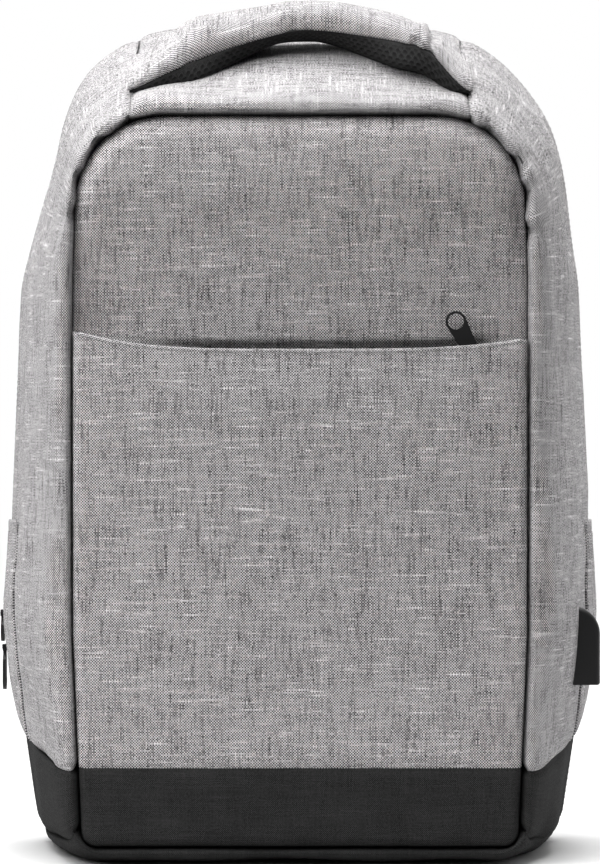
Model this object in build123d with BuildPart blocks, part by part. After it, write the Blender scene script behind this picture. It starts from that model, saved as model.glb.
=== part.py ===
"""Anti-theft day backpack with a USB charging port, as separate sewn and moulded pieces.

Millimetres, +Z up. The origin is on the floor under the middle of the base. The pocket side faces -Y,
the shoulder straps are at +Y, and the USB port is on the wearer's side at +X.
The front shell (front panel, gussets and base) stays put. The rear shell (back board, pads and straps)
opens about a fabric hinge at the bottom once the main zip is undone.
"""
from build123d import *
import os
from collections import namedtuple
from math import atan, degrees, pi, radians, tan

# ---------------------------------------------------------------- driving dimensions
Y_SEAM = -66.0            # seam between the front panel and the gussets
Y_ZIP_FRONT = 42.0        # rear edge of the front shell, where the main zip starts
Y_ZIP_REAR = 47.5         # front edge of the rear shell
Y_BACK = 60.0             # outer face of the back board
WALL = 3.4                # padded fabric wall of the gussets
Z_WIDE = 110.0            # height at which the bag is widest
SEAM_X = 82.0             # the two seams that bound the top gusset
SIDE_BASE_X = 98.0        # inner edge of the dark side corners
BASE_Z = 10.0             # seam round the base panel
DARK_Z = 47.0             # top of the dark band at the front seam
DARK_RISE = 0.13          # how steeply the dark band climbs towards the rear
HINGE_Y, HINGE_Z = 52.0, 9.0
GAP = 0.3                 # clearance between pieces that move past each other

BELOW_FLOOR = -0.5        # the base is lofted to here and then cut flat at the floor

# One outline of the bag: depth, half-widths at the floor, at the widest point, at the haunch and at the
# top line, heights of the bottom, the haunch and the top, and the radii of the bottom and top corners.
Section = namedtuple("Section", "y low wide haunch top z_low z_haunch z_high r_low r_high")
SEAM = Section(Y_SEAM, 106.0, 110.0, 107.0, 105.0, 8.0, 285.0, 360.0, 12.0, 50.0)
EDGE = Section(-52.0, 120.0, 128.5, 123.5, 111.5, BELOW_FLOOR, 285.0, 378.0, 17.0, 58.0)
SIDE = Section(-25.0, 130.0, 139.5, 133.5, 112.0, BELOW_FLOOR, 285.0, 396.0, 21.0, 64.0)
ZIP = Section(Y_ZIP_FRONT, 135.5, 147.5, 140.5, 112.0, BELOW_FLOOR, 285.0, 414.0, 24.0, 70.0)
REAR_NEAR = ZIP._replace(y=Y_ZIP_REAR, z_low=2.0)
REAR_FAR = Section(Y_BACK, 132.5, 144.5, 137.5, 109.5, 6.0, 284.0, 410.0, 24.0, 69.0)
R_HAUNCH = 60.0

os.makedirs("parts", exist_ok=True)
made = []


def keep(part, label):
    """Names a finished piece and writes it to its own STEP file."""
    part.label = label
    export_step(part, f"parts/{label}.step")
    made.append(label)


def outline(section, inset=0.0, y=None):
    """The bag's closed outline in the XZ plane at one depth, shrunk all round by inset."""
    s = section
    half = [
        (s.low - inset, s.z_low + inset),
        (s.wide - inset, Z_WIDE),
        (s.haunch - inset, s.z_haunch),
        (s.top - inset, s.z_high - inset),
    ]
    radii = [max(s.r_low - inset, 2.0), 0, R_HAUNCH, s.r_high - inset]
    with BuildSketch(Plane.XZ.offset(-(s.y if y is None else y))) as sketch:
        with BuildLine():
            FilletPolyline(*half, *[(-x, z) for x, z in reversed(half)],
                           radius=radii + radii[::-1], close=True)
        make_face()
    return sketch.sketch


def skin(sections):
    """Solid between consecutive outlines, with straight generators."""
    with BuildPart() as solid:
        loft(sections=sections, ruled=True)
    return solid.part


def block(x, y, z):
    """A private box from three (low, high) ranges, for cutting and keeping."""
    centre = ((x[0] + x[1]) / 2, (y[0] + y[1]) / 2, (z[0] + z[1]) / 2)
    box = Box(x[1] - x[0], y[1] - y[0], z[1] - z[0], mode=Mode.PRIVATE)
    return Pos(*centre) * box


def mirrored(part):
    """The same piece on the other side of the bag."""
    return mirror(part, about=Plane.YZ, mode=Mode.PRIVATE)


def slab(x, y, z, radius=0.0, axis=Axis.Y):
    """Flat rectangular piece with its edges along one axis rounded."""
    with BuildPart() as piece:
        add(block(x, y, z))
        if radius:
            fillet(piece.edges().filter_by(axis), radius)
    return piece.part


# ---------------------------------------------------------------- front shell
shell_sections = (SEAM, EDGE, SIDE, ZIP)
body_outer = skin([outline(s) for s in shell_sections])
inner_outlines = [outline(SEAM, WALL, Y_SEAM - 1.0)]
inner_outlines += [outline(s, WALL) for s in shell_sections]
inner_outlines += [outline(ZIP, WALL, Y_ZIP_FRONT + 1.0)]
body_inner = skin(inner_outlines)

with BuildPart() as front_shell:
    add(body_outer)
    add(body_inner, mode=Mode.SUBTRACT)
    split(bisect_by=Plane.XY, keep=Keep.TOP)

dark_seam = Plane(origin=(0, Y_SEAM, DARK_Z), z_dir=(0, -DARK_RISE, 1))
port_y, port_z = (-35.0, -11.0), (84.0, 123.0)         # opening in the gusset for the USB housing
port_base = block((120.0, 146.0), (port_y[0] + 2, port_y[1] - 2), (port_z[0] + 1, port_z[1] - 2))

with BuildPart() as gusset_side:
    add(front_shell.part)
    split(bisect_by=Plane(origin=(SEAM_X, 0, 0), z_dir=(1, 0, 0)), keep=Keep.TOP)
    split(bisect_by=dark_seam, keep=Keep.TOP)
keep(mirrored(gusset_side.part), "gusset_left")

with BuildPart() as gusset_right:
    add(gusset_side.part)
    add(port_base, mode=Mode.SUBTRACT)
keep(gusset_right.part, "gusset_right")

with BuildPart() as gusset_top:
    add(front_shell.part)
    add(block((-SEAM_X, SEAM_X), (-80, 60), (300, 430)), mode=Mode.INTERSECT)
keep(gusset_top.part, "gusset_top")

side_corner = block((SIDE_BASE_X, 160), (-80, 60), (BASE_Z, 120))
with BuildPart() as side_base:
    add(front_shell.part)
    split(bisect_by=dark_seam, keep=Keep.BOTTOM)
    add(side_corner, mode=Mode.INTERSECT)
keep(side_base.part, "side_base_right")
keep(mirrored(side_base.part), "side_base_left")

with BuildPart() as base_panel:
    add(front_shell.part)
    split(bisect_by=dark_seam, keep=Keep.BOTTOM)
    add(side_corner, mode=Mode.SUBTRACT)
    add(mirrored(side_corner), mode=Mode.SUBTRACT)
keep(base_panel.part, "base_panel")

keep(slab((-103, 103), (-46, 38), (3.0, 5.0), 12, Axis.Z), "base_board")

# fabric hinge between the shells, under the rear edge of the base
keep(slab((-118, 118), (Y_ZIP_FRONT, Y_ZIP_REAR - GAP), (0.5, 1.9)), "hinge_strip")

# ---------------------------------------------------------------- front panel and pocket
PANEL_T = 4.0             # padded front panel
POCKET_OUT = 14.0         # how far the pocket stands out from the seam
POCKET_WALL = 2.0
MOUTH_MID, MOUTH_END = 247.5, 257.0      # height of the pocket mouth at its middle and ends
panel_inset = POCKET_WALL + 0.2
panel_front = Y_SEAM - PANEL_T

with BuildPart() as front_panel:
    loft(sections=[outline(SEAM, panel_inset), outline(SEAM, panel_inset + 3, panel_front)], ruled=True)
keep(front_panel.part, "front_panel")

with BuildPart() as pocket_tray:
    loft(sections=[
        outline(SEAM),
        outline(SEAM, 1.5, Y_SEAM - 7.0),
        outline(SEAM, 7.0, Y_SEAM - POCKET_OUT),
    ], ruled=True)
    loft(sections=[
        outline(SEAM, POCKET_WALL, Y_SEAM + 1.0),
        outline(SEAM, POCKET_WALL, Y_SEAM),
        outline(SEAM, POCKET_WALL + 1.5, Y_SEAM - 7.0),
        outline(SEAM, POCKET_WALL + 6.0, Y_SEAM - POCKET_OUT + POCKET_WALL),
    ], ruled=True, mode=Mode.SUBTRACT)
    with BuildSketch(Plane.XZ.offset(-Y_SEAM - 5)) as above_mouth:
        with BuildLine():
            ThreePointArc((-120, MOUTH_END + 2), (0, MOUTH_MID), (120, MOUTH_END + 2))
            Polyline((120, MOUTH_END + 2), (120, 380), (-120, 380), (-120, MOUTH_END + 2))
        make_face()
    extrude(amount=40, both=True, mode=Mode.SUBTRACT)

with BuildPart() as front_pocket_panel:
    add(pocket_tray.part)
    split(bisect_by=Plane(origin=(0, 0, DARK_Z), z_dir=(0, 0, 1)), keep=Keep.TOP)
keep(front_pocket_panel.part, "front_pocket_panel")

with BuildPart() as front_base_band:
    add(pocket_tray.part)
    split(bisect_by=Plane(origin=(0, 0, DARK_Z), z_dir=(0, 0, 1)), keep=Keep.BOTTOM)
keep(front_base_band.part, "front_base_band")

# ---------------------------------------------------------------- pocket zip
POCKET_ZIP_Z = 240.0
POCKET_ZIP_X = 99.0
COIL_W, COIL_T, TAPE_T, TAPE_W = 2.8, 1.6, 0.7, 7.0
tape_y = (panel_front - TAPE_T, panel_front)
with BuildPart() as pocket_zip_tapes:
    for sign in (-1, 1):
        near = POCKET_ZIP_Z + sign * COIL_W / 2
        far = near + sign * TAPE_W
        add(block((-POCKET_ZIP_X, POCKET_ZIP_X), tape_y, (min(near, far), max(near, far))))
keep(pocket_zip_tapes.part, "pocket_zip_tapes")
coil_z = (POCKET_ZIP_Z - COIL_W / 2, POCKET_ZIP_Z + COIL_W / 2)
keep(slab((-POCKET_ZIP_X, POCKET_ZIP_X), (panel_front - COIL_T, panel_front), coil_z), "pocket_zip_coil")

SLIDER_L, SLIDER_W, SLIDER_T = 11.0, 7.6, 2.4
STUD_R, STUD_HOLE_R = 1.1, 1.45
PULL_X = 86.5             # pivot of the pocket zip puller
PULL_LENGTH, PULL_R, PULL_HOLE_R, PULL_T = 24.5, 5.0, 3.8, 1.7
PULL_LEAN = 28.0          # degrees from upright, towards -X

slider_y = (panel_front - COIL_T - GAP - SLIDER_T, panel_front - COIL_T - GAP)
with BuildPart() as pocket_slider:
    add(block((PULL_X - SLIDER_L / 2, PULL_X + SLIDER_L / 2), slider_y,
              (POCKET_ZIP_Z - SLIDER_W / 2, POCKET_ZIP_Z + SLIDER_W / 2)))
    fillet(pocket_slider.edges().filter_by(Axis.Y), 2.0)
    flange_y = (slider_y[1] - 0.1, panel_front - TAPE_T - GAP)
    for sign in (-1, 1):
        near, far = POCKET_ZIP_Z + sign * 2.2, POCKET_ZIP_Z + sign * 3.2
        add(block((PULL_X - 3.4, PULL_X + 3.4), flange_y, (min(near, far), max(near, far))))
    with BuildSketch(Plane.XZ.offset(-slider_y[0])):
        with Locations((PULL_X, POCKET_ZIP_Z)):
            Circle(STUD_R)
    extrude(amount=PULL_T + 2 * GAP)
    with BuildSketch(Plane.XZ.offset(-slider_y[0] + PULL_T + 2 * GAP)):
        with Locations((PULL_X, POCKET_ZIP_Z)):
            Circle(STUD_R + 1.0)
    extrude(amount=0.7)
keep(pocket_slider.part, "pocket_slider")


def puller(length, hole_r, eye_r):
    """Flat moulded puller in the XZ plane, hanging up from its pivot at the origin, PULL_T thick."""
    with BuildPart() as piece:
        with BuildSketch(Plane.XZ):
            with BuildLine():
                Line((-2.9, 0), (-PULL_R, length))
                ThreePointArc((-PULL_R, length), (0, length + PULL_R), (PULL_R, length))
                Line((PULL_R, length), (2.9, 0))
                ThreePointArc((2.9, 0), (0, -2.9), (-2.9, 0))
            make_face()
            Circle(hole_r, mode=Mode.SUBTRACT)
            if eye_r:
                with Locations((0, length)):
                    Circle(eye_r, mode=Mode.SUBTRACT)
        extrude(amount=PULL_T)
    return piece.part


pull_shape = puller(PULL_LENGTH, STUD_HOLE_R, PULL_HOLE_R)
pull_place = Pos(PULL_X, slider_y[0] - GAP, POCKET_ZIP_Z) * Rot(0, -PULL_LEAN, 0)
keep(pull_place * pull_shape, "pocket_puller")

# ---------------------------------------------------------------- main zip
ZIP_END_Z = 35.0          # the zip stops here on both sides
zip_keep = block((-170, 170), (0, 80), (ZIP_END_Z, 430))


def zip_ring(y, outer, inner):
    """Arch-shaped strip of the main zip between two depths."""
    with BuildPart() as ring:
        loft(sections=[outline(ZIP, outer, y[0]), outline(ZIP, outer, y[1])], ruled=True)
        loft(sections=[outline(ZIP, inner, y[0] - 1), outline(ZIP, inner, y[1] + 1)], ruled=True,
             mode=Mode.SUBTRACT)
        add(zip_keep, mode=Mode.INTERSECT)
    return ring.part


zip_mid = (Y_ZIP_FRONT + Y_ZIP_REAR) / 2
keep(zip_ring((Y_ZIP_FRONT, zip_mid - 1.2), 0.8, 1.8), "main_zip_tape_front")
keep(zip_ring((zip_mid - 1.2, zip_mid - GAP / 2), 0.2, 2.2), "main_zip_coil_front")
keep(zip_ring((zip_mid + GAP / 2, zip_mid + 1.2), 0.2, 2.2), "main_zip_coil_rear")
keep(zip_ring((zip_mid + 1.2, Y_ZIP_REAR), 0.8, 1.8), "main_zip_tape_rear")

MAIN_LOW_Z, MAIN_HIGH_Z = 99.0, 116.0          # centres of the two sliders where they meet
low_slope = (ZIP.wide - ZIP.low) / (Z_WIDE - ZIP.z_low)
high_slope = (ZIP.wide - ZIP.haunch) / (ZIP.z_haunch - Z_WIDE)


def side_x(z):
    """Half-width of the bag at the zip, on its straight sides."""
    if z < Z_WIDE:
        return ZIP.low + low_slope * (z - ZIP.z_low)
    return ZIP.wide - high_slope * (z - Z_WIDE)


SLIDER_CLEAR = 0.4        # slider to zip coil
PIN_OUT = 1.7             # puller pin in front of the slider's face
PIN_R, PIN_HOLE_R, BARREL_R = 0.7, 0.95, 1.35
BARREL_HALF = 1.2


def main_slider():
    """Slider on the outer face of the main zip, at the origin facing -X, with its puller pin."""
    with BuildPart() as piece:
        add(block((-SLIDER_T, 0), (-SLIDER_W / 2, SLIDER_W / 2), (-SLIDER_L / 2, SLIDER_L / 2)))
        fillet(piece.edges().filter_by(Axis.X), 2.0)
        for sign in (-1, 1):
            near, far = sign * (BARREL_HALF + GAP), sign * (BARREL_HALF + GAP + 1.4)
            add(block((-SLIDER_T - PIN_OUT - 1.1, -SLIDER_T + 0.2), (min(near, far), max(near, far)),
                      (-1.6, 1.6)))
        with BuildSketch(Plane.XZ.offset(-BARREL_HALF - GAP - 0.7)):
            with Locations((-SLIDER_T - PIN_OUT, 0)):
                Circle(PIN_R)
        extrude(amount=2 * (BARREL_HALF + GAP + 0.7))
    return piece.part


def hanging_puller(length):
    """Puller hanging down from a pin along Y at the origin, flat against the side of the bag."""
    with BuildPart() as piece:
        with BuildSketch(Plane.YZ):
            with BuildLine():
                Polyline((4.5, -length), (4.2, -6), (BARREL_HALF, -3), (BARREL_HALF, 0),
                         (-BARREL_HALF, 0), (-BARREL_HALF, -3), (-4.2, -6), (-4.5, -length))
                ThreePointArc((-4.5, -length), (0, -length - 4.5), (4.5, -length))
            make_face()
            with Locations((0, -length)):
                Circle(2.2, mode=Mode.SUBTRACT)
        extrude(amount=PULL_T / 2, both=True)
        with BuildSketch(Plane.XZ.offset(-BARREL_HALF)):
            Circle(BARREL_R)
        extrude(amount=2 * BARREL_HALF)
        with BuildSketch(Plane.XZ.offset(-BARREL_HALF - 1)):
            Circle(PIN_HOLE_R)
        extrude(amount=2 * BARREL_HALF + 2, mode=Mode.SUBTRACT)
    return piece.part


for name, z, slope, length in (
    ("lower", MAIN_LOW_Z, -low_slope, 17.0),
    ("upper", MAIN_HIGH_Z, high_slope, 10.0),
):
    at = Pos(-side_x(z) - SLIDER_CLEAR, zip_mid, z)
    tilt = Rot(0, degrees(atan(slope)), 0)
    pin = at * tilt * Pos(-SLIDER_T - PIN_OUT, 0, 0)
    keep(at * tilt * main_slider(), f"main_slider_{name}")
    keep(Pos(*pin.position) * hanging_puller(length), f"main_puller_{name}")

# ---------------------------------------------------------------- carry handle
HANDLE_Y = (-41.0, -7.0)
HANDLE_TOP, HANDLE_T = 421.0, 15.0       # crown of the arch and its padded thickness
HANDLE_HALF = 62.0        # the lifting part; beyond it the ends are sewn down
HANDLE_DROP = 22.0        # fall of the arch at the seams
MESH_T = 3.0
HANDLE_CLEAR = 0.6


def handle_arch(top, thickness, y):
    """Arched band across the bag whose crown is at the given height."""
    high = top - HANDLE_DROP
    low = high - thickness
    with BuildPart() as band:
        with BuildSketch(Plane.XZ.offset(-y[1])):
            with BuildLine():
                ThreePointArc((-SEAM_X, high), (0, top), (SEAM_X, high))
                Line((SEAM_X, high), (SEAM_X, low))
                ThreePointArc((SEAM_X, low), (0, top - thickness), (-SEAM_X, low))
                Line((-SEAM_X, low), (-SEAM_X, high))
            make_face()
        extrude(amount=y[1] - y[0])
    return band.part


body_clear = skin([outline(s, -HANDLE_CLEAR) for s in shell_sections])
middle = block((-HANDLE_HALF, HANDLE_HALF), (-80, 40), (340, 440))
with BuildPart() as handle_grip:
    add(handle_arch(HANDLE_TOP, HANDLE_T - MESH_T, HANDLE_Y))
    add(middle, mode=Mode.INTERSECT)
    add(body_clear, mode=Mode.SUBTRACT)
keep(handle_grip.part, "handle_grip")

with BuildPart() as handle_mesh:
    add(handle_arch(HANDLE_TOP - HANDLE_T + MESH_T, MESH_T, (HANDLE_Y[0] + 2, HANDLE_Y[1] - 2)))
    add(middle, mode=Mode.INTERSECT)
    add(body_clear, mode=Mode.SUBTRACT)
keep(handle_mesh.part, "handle_mesh")

root_range = block((HANDLE_HALF + 0.5, SEAM_X - 1), (-80, 40), (340, 440))
with BuildPart() as handle_root:
    add(handle_arch(HANDLE_TOP, HANDLE_T, HANDLE_Y))
    add(root_range, mode=Mode.INTERSECT)
    add(body_outer, mode=Mode.SUBTRACT)
keep(handle_root.part, "handle_root_right")
keep(mirrored(handle_root.part), "handle_root_left")

# ---------------------------------------------------------------- side pockets
SIDE_POCKET_X = 149.6     # outer face of the slip pockets
POCKET_Y = (-7.5, 39.0)
POCKET_Z = (57.0, 158.0)
POCKET_SKIN = 1.8
ELASTIC_H = 7.0


def pocket_block(grow, z):
    """Upright block of a side pocket's footprint, grown or shrunk all round."""
    with BuildPart() as piece:
        add(block((120.0, SIDE_POCKET_X + grow), (POCKET_Y[0] - grow, POCKET_Y[1] + grow), z))
        fillet(piece.edges().filter_by(Axis.Z).sort_by(Axis.X)[-2:], 5.0 + grow)
    return piece.part


with BuildPart() as side_pocket:
    add(pocket_block(0, POCKET_Z))
    add(pocket_block(-POCKET_SKIN, (POCKET_Z[0] + POCKET_SKIN, POCKET_Z[1] + 5)), mode=Mode.SUBTRACT)
    add(body_outer, mode=Mode.SUBTRACT)
keep(side_pocket.part, "side_pocket_right")
keep(mirrored(side_pocket.part), "side_pocket_left")

with BuildPart() as pocket_elastic:
    add(pocket_block(0.4, (POCKET_Z[1], POCKET_Z[1] + ELASTIC_H)))
    add(pocket_block(-POCKET_SKIN - 0.2, (POCKET_Z[1] - 1, POCKET_Z[1] + ELASTIC_H + 1)), mode=Mode.SUBTRACT)
    add(body_outer, mode=Mode.SUBTRACT)
keep(pocket_elastic.part, "pocket_elastic_right")
keep(mirrored(pocket_elastic.part), "pocket_elastic_left")

# ---------------------------------------------------------------- USB charging port
PORT_IN, PORT_OUT = 130.0, 147.6         # back of the moulded housing and its outer face
PORT_CURVE = 14.0         # height of the rounded top of the hood
SOCKET_W, SOCKET_T, SOCKET_L = 13.1, 5.7, 14.0
CAVITY_X = (137.0, 146.2)
port_mid = (port_y[0] + port_y[1]) / 2
cavity_y = (port_mid - 9.0, port_mid + 9.0)
cavity_top = port_z[0] + 22.0
screw_heights = (port_z[0] + 6.5, port_z[1] - 7.5)

with BuildPart() as usb_housing:
    with BuildSketch(Plane.XZ.offset(-port_y[1] + 0.2)):
        with BuildLine():
            Polyline((134.0, port_z[1] - 0.2), (134.0, port_z[0] + 0.2), (PORT_OUT - 1, port_z[0] + 0.2),
                     (PORT_OUT, port_z[0] + 1.2), (PORT_OUT, port_z[1] - PORT_CURVE))
            EllipticalCenterArc((134.0, port_z[1] - PORT_CURVE), PORT_OUT - 134.0, PORT_CURVE - 0.2, 0,
                                arc_size=90)
        make_face()
    extrude(amount=port_y[1] - port_y[0] - 0.4)
    fillet(usb_housing.edges().filter_by(Axis.Z).sort_by(Axis.X)[-2:], 2.5)
    add(block((PORT_IN, 137.0), (port_y[0] + 2.3, port_y[1] - 2.3), (port_z[0] + 1.3, port_z[1] - 2.3)))
    add(block(CAVITY_X, cavity_y, (port_z[0] - 1, cavity_top)), mode=Mode.SUBTRACT)
    add(gusset_right.part, mode=Mode.SUBTRACT)
    for screw_z in screw_heights:
        with BuildSketch(Plane.YZ.offset(PORT_IN - 1)):
            with Locations((port_mid, screw_z)):
                Circle(1.05)
        extrude(amount=4.5, mode=Mode.SUBTRACT)
keep(usb_housing.part, "usb_housing")

socket_x = (140.4, 140.4 + SOCKET_T)
socket_y = (port_mid - SOCKET_W / 2, port_mid + SOCKET_W / 2)
socket_z = (port_z[0] + 1.4, port_z[0] + 1.4 + SOCKET_L)
with BuildPart() as usb_socket:
    add(block(socket_x, socket_y, socket_z))
    add(block((socket_x[0] + 0.4, socket_x[1] - 0.4), (socket_y[0] + 0.4, socket_y[1] - 0.4),
              (socket_z[0] - 1, socket_z[1] - 1.2)), mode=Mode.SUBTRACT)
keep(usb_socket.part, "usb_socket")
keep(slab((socket_x[0] + 1.2, socket_x[0] + 2.9), (port_mid - 5.6, port_mid + 5.6),
          (socket_z[0] + 1.0, socket_z[1] - 1.2)), "usb_tongue")
with BuildPart() as usb_socket_carrier:
    add(block(CAVITY_X, cavity_y, (port_z[0] + 2.4, cavity_top)))
    add(block(socket_x, socket_y, (port_z[0] - 1, socket_z[1])), mode=Mode.SUBTRACT)
keep(usb_socket_carrier.part, "usb_socket_carrier")

CABLE_D = 3.4
plate_x = (PORT_IN - 2.2, PORT_IN)
relief_x, relief_top = 123.4, port_z[0] + 26.0
with BuildPart() as usb_backplate:
    add(block(plate_x, (port_y[0] + 1.5, port_y[1] - 0.5), (port_z[0] - 1, port_z[1] + 1)))
    fillet(usb_backplate.edges().filter_by(Axis.X), 3.0)
    add(block((relief_x - 3.6, plate_x[0]), (port_mid - 4, port_mid + 4), (relief_top - 12, relief_top)))
    for screw_z in screw_heights:
        with BuildSketch(Plane.YZ.offset(plate_x[0] - 1)):
            with Locations((port_mid, screw_z)):
                Circle(1.2)
        extrude(amount=4.0, mode=Mode.SUBTRACT)
keep(usb_backplate.part, "usb_backplate")

with BuildPart() as usb_screws:
    for screw_z in screw_heights:
        for radius, length in ((1.0, 5.2), (2.1, -1.2)):
            with BuildSketch(Plane.YZ.offset(plate_x[0])):
                with Locations((port_mid, screw_z)):
                    Circle(radius)
            extrude(amount=length)
keep(usb_screws.part, "usb_screws")

# internal lead from the port up the gusset and down into the battery pocket
PLUG_X, PLUG_Y, PLUG_TOP = 60.0, -54.5, 182.0
lead_points = [
    (relief_x, port_mid, relief_top),
    (relief_x, port_mid, 238.0),
    (PLUG_X, PLUG_Y, 238.0),
    (PLUG_X, PLUG_Y, PLUG_TOP),
]


def bend_radius(before, corner, after):
    """Largest radius that leaves 0.45 of the shorter run for each end of the bend."""
    run_in = Vector(*corner) - Vector(*before)
    run_out = Vector(*after) - Vector(*corner)
    half_turn = run_in.get_angle(run_out) / 2
    return 0.45 * min(run_in.length, run_out.length) / tan(radians(half_turn))


lead_radii = [bend_radius(*lead_points[i:i + 3]) for i in range(len(lead_points) - 2)]
with BuildPart() as charging_cable:
    with BuildLine():
        lead_line = FilletPolyline(*lead_points, radius=lead_radii)
    with BuildSketch(Plane(origin=lead_line @ 0, z_dir=lead_line % 0)):
        Circle(CABLE_D / 2)
    sweep(path=lead_line)
keep(charging_cable.part, "charging_cable")
print("charging_cable bend radii", [round(r, 1) for r in lead_radii], "diameter", CABLE_D,
      "volume", round(charging_cable.part.volume, 1),
      "length x section", round(lead_line.length * pi * CABLE_D ** 2 / 4, 1))

with BuildPart() as usb_plug:
    add(block((PLUG_X - 7.5, PLUG_X + 7.5), (PLUG_Y - 4, PLUG_Y + 4), (PLUG_TOP - 22, PLUG_TOP)))
    fillet(usb_plug.edges().filter_by(Axis.Z), 2.0)
    add(block((PLUG_X - 6, PLUG_X + 6), (PLUG_Y - 2.25, PLUG_Y + 2.25), (PLUG_TOP - 34, PLUG_TOP - 22)))
keep(usb_plug.part, "usb_plug")

with BuildPart() as cable_keepers:
    for keeper_z in (140.0, 190.0):
        add(block((relief_x - 4.6, 145), (port_mid - 5.5, port_mid + 3.0), (keeper_z - 4, keeper_z + 4)))
    add(body_inner, mode=Mode.INTERSECT)
    add(charging_cable.part, mode=Mode.SUBTRACT)
keep(cable_keepers.part, "cable_keepers")

# ---------------------------------------------------------------- pocket for the power bank
BATTERY_X, BATTERY_Y, BATTERY_Z = (20.0, 100.0), (Y_SEAM, -44.0), (60.0, 190.0)
with BuildPart() as battery_pocket:
    add(block(BATTERY_X, BATTERY_Y, BATTERY_Z))
    add(block((BATTERY_X[0] + 1.5, BATTERY_X[1] - 1.5), (BATTERY_Y[0] - 1, BATTERY_Y[1] - 1.5),
              (BATTERY_Z[0] + 1.5, BATTERY_Z[1] + 1)), mode=Mode.SUBTRACT)
keep(battery_pocket.part, "battery_pocket")

# ---------------------------------------------------------------- rear shell
BOARD_T = 4.0
rear_outer = skin([outline(REAR_NEAR), outline(REAR_FAR)])
rear_inner = skin([
    outline(REAR_NEAR, WALL, Y_ZIP_REAR - 1),
    outline(REAR_NEAR, WALL),
    outline(REAR_FAR, WALL),
    outline(REAR_FAR, WALL, Y_BACK + 1),
])
with BuildPart() as rear_gusset:
    add(rear_outer)
    add(rear_inner, mode=Mode.SUBTRACT)
keep(rear_gusset.part, "rear_gusset")

with BuildPart() as back_board:
    add(rear_inner)
    add(block((-200, 200), (Y_BACK - BOARD_T, Y_BACK), (0, 430)), mode=Mode.INTERSECT)
keep(back_board.part, "back_board")

PAD_X, PAD_Z, PAD_T = (50.0, 116.0), (58.0, 352.0), 10.0
pad = slab(PAD_X, (Y_BACK, Y_BACK + PAD_T), PAD_Z, 16.0, Axis.Y)
keep(pad, "back_pad_right")
keep(mirrored(pad), "back_pad_left")

TROLLEY_Z = (150.0, 195.0)
TROLLEY_X, TROLLEY_Y, TROLLEY_T = 125.0, 72.0, 1.6
with BuildPart() as trolley_strap:
    add(block((-TROLLEY_X, TROLLEY_X), (Y_BACK, TROLLEY_Y + TROLLEY_T), TROLLEY_Z))
    add(block((-TROLLEY_X + 5, TROLLEY_X - 5), (Y_BACK - 1, TROLLEY_Y), (TROLLEY_Z[0] - 1, TROLLEY_Z[1] + 1)),
        mode=Mode.SUBTRACT)
keep(trolley_strap.part, "trolley_strap")

SLEEVE_X, SLEEVE_Y, SLEEVE_Z = 122.0, 32.0, (20.0, 290.0)
sleeve_back = Y_BACK - BOARD_T
with BuildPart() as laptop_sleeve:
    add(slab((-SLEEVE_X, SLEEVE_X), (SLEEVE_Y, sleeve_back), SLEEVE_Z, 10.0))
    add(slab((-SLEEVE_X + 3, SLEEVE_X - 3), (SLEEVE_Y + 4, sleeve_back + 1),
             (SLEEVE_Z[0] + 4, SLEEVE_Z[1] + 12), 8.0), mode=Mode.SUBTRACT)
    add(block((-150, 150), (SLEEVE_Y - 1, sleeve_back + 1), (SLEEVE_Z[1] - 10, SLEEVE_Z[1] + 20)),
        mode=Mode.SUBTRACT)
keep(laptop_sleeve.part, "laptop_sleeve")

# ---------------------------------------------------------------- shoulder straps
STRAP_Y = (75.0, 86.0)
STRAP_TOP = 372.0
strap_line = [(40, STRAP_TOP), (46, 330), (66, 270), (92, 215), (112, 170), (120, 140)]
STRAP_W = (58.0, 36.0)    # width at the shoulder and at the lower end
LOCK_X, LOCK_TOP = 120.0, 131.0
WEB_W, WEB_T = 25.0, 1.4


def strap_edges():
    """Points along the two long edges of a shoulder strap, either side of its centre line."""
    left, right = [], []
    last = len(strap_line) - 1
    for i, (x, z) in enumerate(strap_line):
        x0, z0 = strap_line[max(i - 1, 0)]
        x1, z1 = strap_line[min(i + 1, last)]
        run = (Vector(x1, z1) - Vector(x0, z0)).normalized()
        if i in (0, last):
            run = Vector(0, -1)
        half = (STRAP_W[0] + (STRAP_W[1] - STRAP_W[0]) * i / last) / 2
        right.append((x - half * run.Y, z + half * run.X))
        left.append((x + half * run.Y, z - half * run.X))
    return left, right


left_edge, right_edge = strap_edges()
with BuildPart() as shoulder_strap:
    with BuildSketch(Plane.XZ.offset(-STRAP_Y[1])):
        with BuildLine():
            Spline(*left_edge)
            Line(left_edge[-1], right_edge[-1])
            Spline(*reversed(right_edge))
            Line(right_edge[0], left_edge[0])
        make_face()
    extrude(amount=STRAP_Y[1] - STRAP_Y[0])
    fillet(shoulder_strap.edges().filter_by(Axis.Y), 4.0)
    chamfer(shoulder_strap.faces().filter_by(Axis.Y).edges(), 1.5)
    bar_y = (77.9, 83.1)
    loop_x = (LOCK_X - WEB_W / 2, LOCK_X + WEB_W / 2)
    add(block(loop_x, (bar_y[0] - WEB_T, bar_y[1] + WEB_T), (LOCK_TOP - 8.2, strap_line[-1][1] + 2)))
    add(block((loop_x[0] - 1, loop_x[1] + 1), bar_y, (LOCK_TOP - 6.8, LOCK_TOP + 2)), mode=Mode.SUBTRACT)
keep(shoulder_strap.part, "shoulder_strap_right")
keep(mirrored(shoulder_strap.part), "shoulder_strap_left")

with BuildPart() as strap_anchor:
    with BuildSketch(Plane.YZ.offset(strap_line[0][0] - STRAP_W[0] / 2)):
        with BuildLine():
            Polyline((60, 402), (63, 402), (76, 395), (86, 384), (86, 372.9), (75, 372.9), (70, 380),
                     (60, 384), close=True)
        make_face()
    extrude(amount=STRAP_W[0])
keep(strap_anchor.part, "strap_anchor_right")
keep(mirrored(strap_anchor.part), "strap_anchor_left")

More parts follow.
